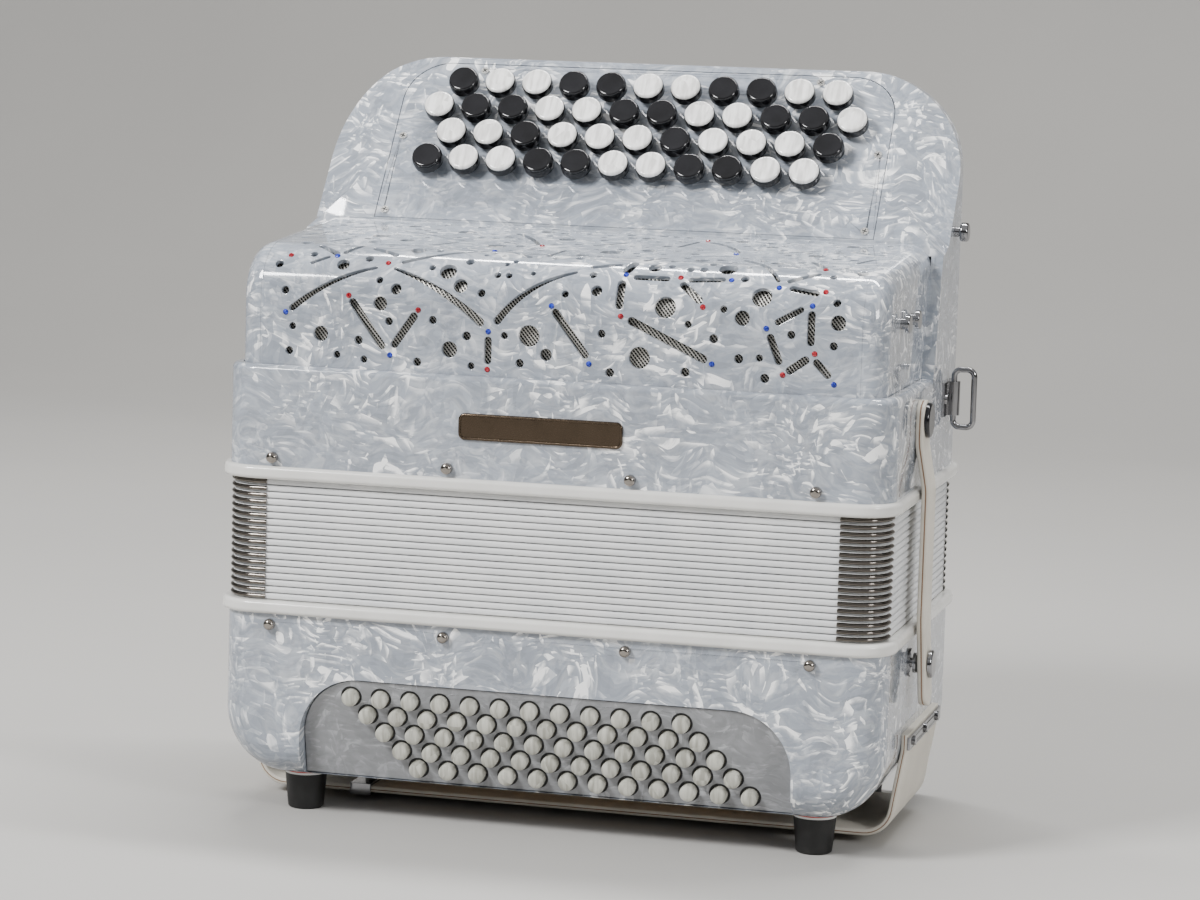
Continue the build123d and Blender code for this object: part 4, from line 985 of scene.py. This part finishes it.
def strap_object(name, path, y0, y1, thick, round_ends=0.0):
    """A leather strap along a path of (x, z): smooth faces, rounded edges and a darker core line."""
    edge = thick * 0.28
    half = thick / 2
    loop = [
        (y0, 0.10 * half), (y0, 0.5 * half), (y0 + 0.3 * edge, 0.85 * half), (y0 + edge, half),
        ((2 * y0 + y1) / 3, half), ((y0 + 2 * y1) / 3, half),
        (y1 - edge, half), (y1 - 0.3 * edge, 0.85 * half), (y1, 0.5 * half), (y1, 0.10 * half),
        (y1, -0.25 * half), (y1, -0.6 * half), (y1 - 0.3 * edge, -0.85 * half), (y1 - edge, -half),
        ((y0 + 2 * y1) / 3, -half), ((2 * y0 + y1) / 3, -half),
        (y0 + edge, -half), (y0 + 0.3 * edge, -0.85 * half), (y0, -0.6 * half), (y0, -0.25 * half),
    ]
    vertices = []
    total = len(path)
    length = [0.0]
    for i in range(1, total):
        length.append(length[-1] + (path[i] - path[i - 1]).length)
    middle_y, reach = (y0 + y1) / 2, (y1 - y0) / 2
    for i, place in enumerate(path):
        a, b = path[max(i - 1, 0)], path[min(i + 1, total - 1)]
        along = (b - a).normalized()
        across = Vector((along.y, -along.x))
        squeeze = 1.0
        if round_ends:
            from_end = min(length[i], length[-1] - length[i])
            if from_end < round_ends:
                gone = 1 - from_end / round_ends
                squeeze = 1 - (round_ends / reach) * (1 - math.sqrt(max(0.0, 1 - gone * gone)))
        for y, n in loop:
            spot = place + across * n
            vertices.append((spot.x, middle_y + (y - middle_y) * squeeze, spot.y))
    columns = len(loop)
    faces = strip_faces(total, columns)
    core = {9, 19}
    indices = [1 if (f % columns) in core else 0 for f in range(len(faces))]
    faces += [tuple(reversed(range(columns))), tuple((total - 1) * columns + i for i in range(columns))]
    indices += [0, 0]
    return make_object(name, vertices, faces, [LEATHER, SUEDE], sharp=50, indices=indices)


HAND_STRAP_T = 3.0
HAND_STRAP_Y = (-37.0, 43.0)
HAND_STRAP_BEND = 13.0
HAND_STRAP_LOW = 5.5
BELLOWS_STRAP_T = 3.9
BELLOWS_STRAP_Y = (-32.0, -15.0)
BELLOWS_STRAP_BEND = 30.0
BELLOWS_STRAP_END_R = 7.0
BELLOWS_STRAP_STEP = 1.5


def straps():
    """The hand strap round the bass end and the two straps that hold the bellows shut."""
    middle = END_X + HAND_STRAP_T / 2
    right = [(middle, 52.0), (middle, 45.0), (middle - 3.6, 24.0), (middle - 6.5, HAND_STRAP_LOW)]
    left = [(-x, z) for x, z in reversed(right)]
    path = rounded_path(right + left, HAND_STRAP_BEND, run_steps=10)
    hand = strap_object("hand_strap", path, *HAND_STRAP_Y, HAND_STRAP_T)
    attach(hand, "bass_half")
    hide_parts("bass_strap")
    top, clear = END_X + 2.0, END_X + 5.9
    for side, word in ((1, "right"), (-1, "left")):
        points = [(top, 203.0), (top, 184.0), (clear, 163.0), (clear, 104.0), (clear + 2.0, 64.0)]
        path = rounded_path(points, BELLOWS_STRAP_BEND, run_steps=8)
        dense = []
        for a, b in zip(path, path[1:]):
            steps = max(1, int((b - a).length / BELLOWS_STRAP_STEP))
            dense += [a.lerp(b, k / steps) for k in range(steps)]
        dense.append(path[-1])
        dense = [Vector((side * p.x, p.y)) for p in dense]
        if side < 0:
            dense.reverse()
        strap = strap_object(f"bellows_strap_{word}", dense, *BELLOWS_STRAP_Y, BELLOWS_STRAP_T,
                             round_ends=BELLOWS_STRAP_END_R)
        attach(strap, "treble_half")
        if side > 0:
            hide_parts("bellows_straps")


# ------------------------------------------------------------------ assembly

FLOOR_REACH = 12000
SWEEP_START = 1400
SWEEP_R = 1200
WALL_TOP = 4500


def stage():
    """A pale floor that sweeps up behind, an even studio sky and three soft lights."""
    s = Shader("floor", Roughness=0.75)
    tone = s.noise(2.2, detail=5.0)
    s.set("Base Color", s.mix(tone, (0.38, 0.37, 0.355), (0.45, 0.44, 0.42)))
    s.bump(s.noise(60.0, detail=5.0), 0.05, 0.001)
    side = [(-FLOOR_REACH, 0), (SWEEP_START, 0)]
    for i in range(1, 17):
        a = math.pi / 2 * i / 16
        side.append((SWEEP_START + SWEEP_R * math.sin(a), SWEEP_R - SWEEP_R * math.cos(a)))
    side.append((SWEEP_START + SWEEP_R, WALL_TOP))
    vertices = [(x, y, z) for y, z in side for x in (-FLOOR_REACH, FLOOR_REACH)]
    make_object("floor", vertices, strip_faces(len(side), 2, closed_columns=False), [s.material])
    world = bpy.data.worlds.new("studio")
    world.use_nodes = True
    nodes, links = world.node_tree.nodes, world.node_tree.links
    height = nodes.new("ShaderNodeSeparateXYZ")
    links.new(nodes.new("ShaderNodeTexCoord").outputs["Generated"], height.inputs[0])
    ramp = nodes.new("ShaderNodeValToRGB")
    links.new(height.outputs["Z"], ramp.inputs["Fac"])
    links.new(ramp.outputs["Color"], nodes["Background"].inputs["Color"])
    ramp.color_ramp.elements[0].color = (0.16, 0.16, 0.16, 1)
    ramp.color_ramp.elements[0].position = 0.30
    ramp.color_ramp.elements[1].color = (1.0, 1.0, 1.0, 1)
    ramp.color_ramp.elements[1].position = 0.55
    nodes["Background"].inputs["Strength"].default_value = 0.62
    bpy.context.scene.world = world
    area_light("key", (-1.2, -1.5, 1.7), (0, 0, 0.2), 0.6, 78)
    area_light("top", (0.1, 0.5, 1.9), (0, 0, 0.2), 1.6, 46, size_y=0.14)
    area_light("fill", (1.7, -1.0, 0.9), (0, 0, 0.2), 0.5, 18)


place_camera()
stage()
NODES["button_plate"].data.materials.clear()
NODES["button_plate"].data.materials.append(PEARL)
dress_nodes()
treble_buttons()
bass_buttons()
bellows()
grille_cover()
gauze()
stones()
name_plate_border()
screw_cross_shades()
straps()
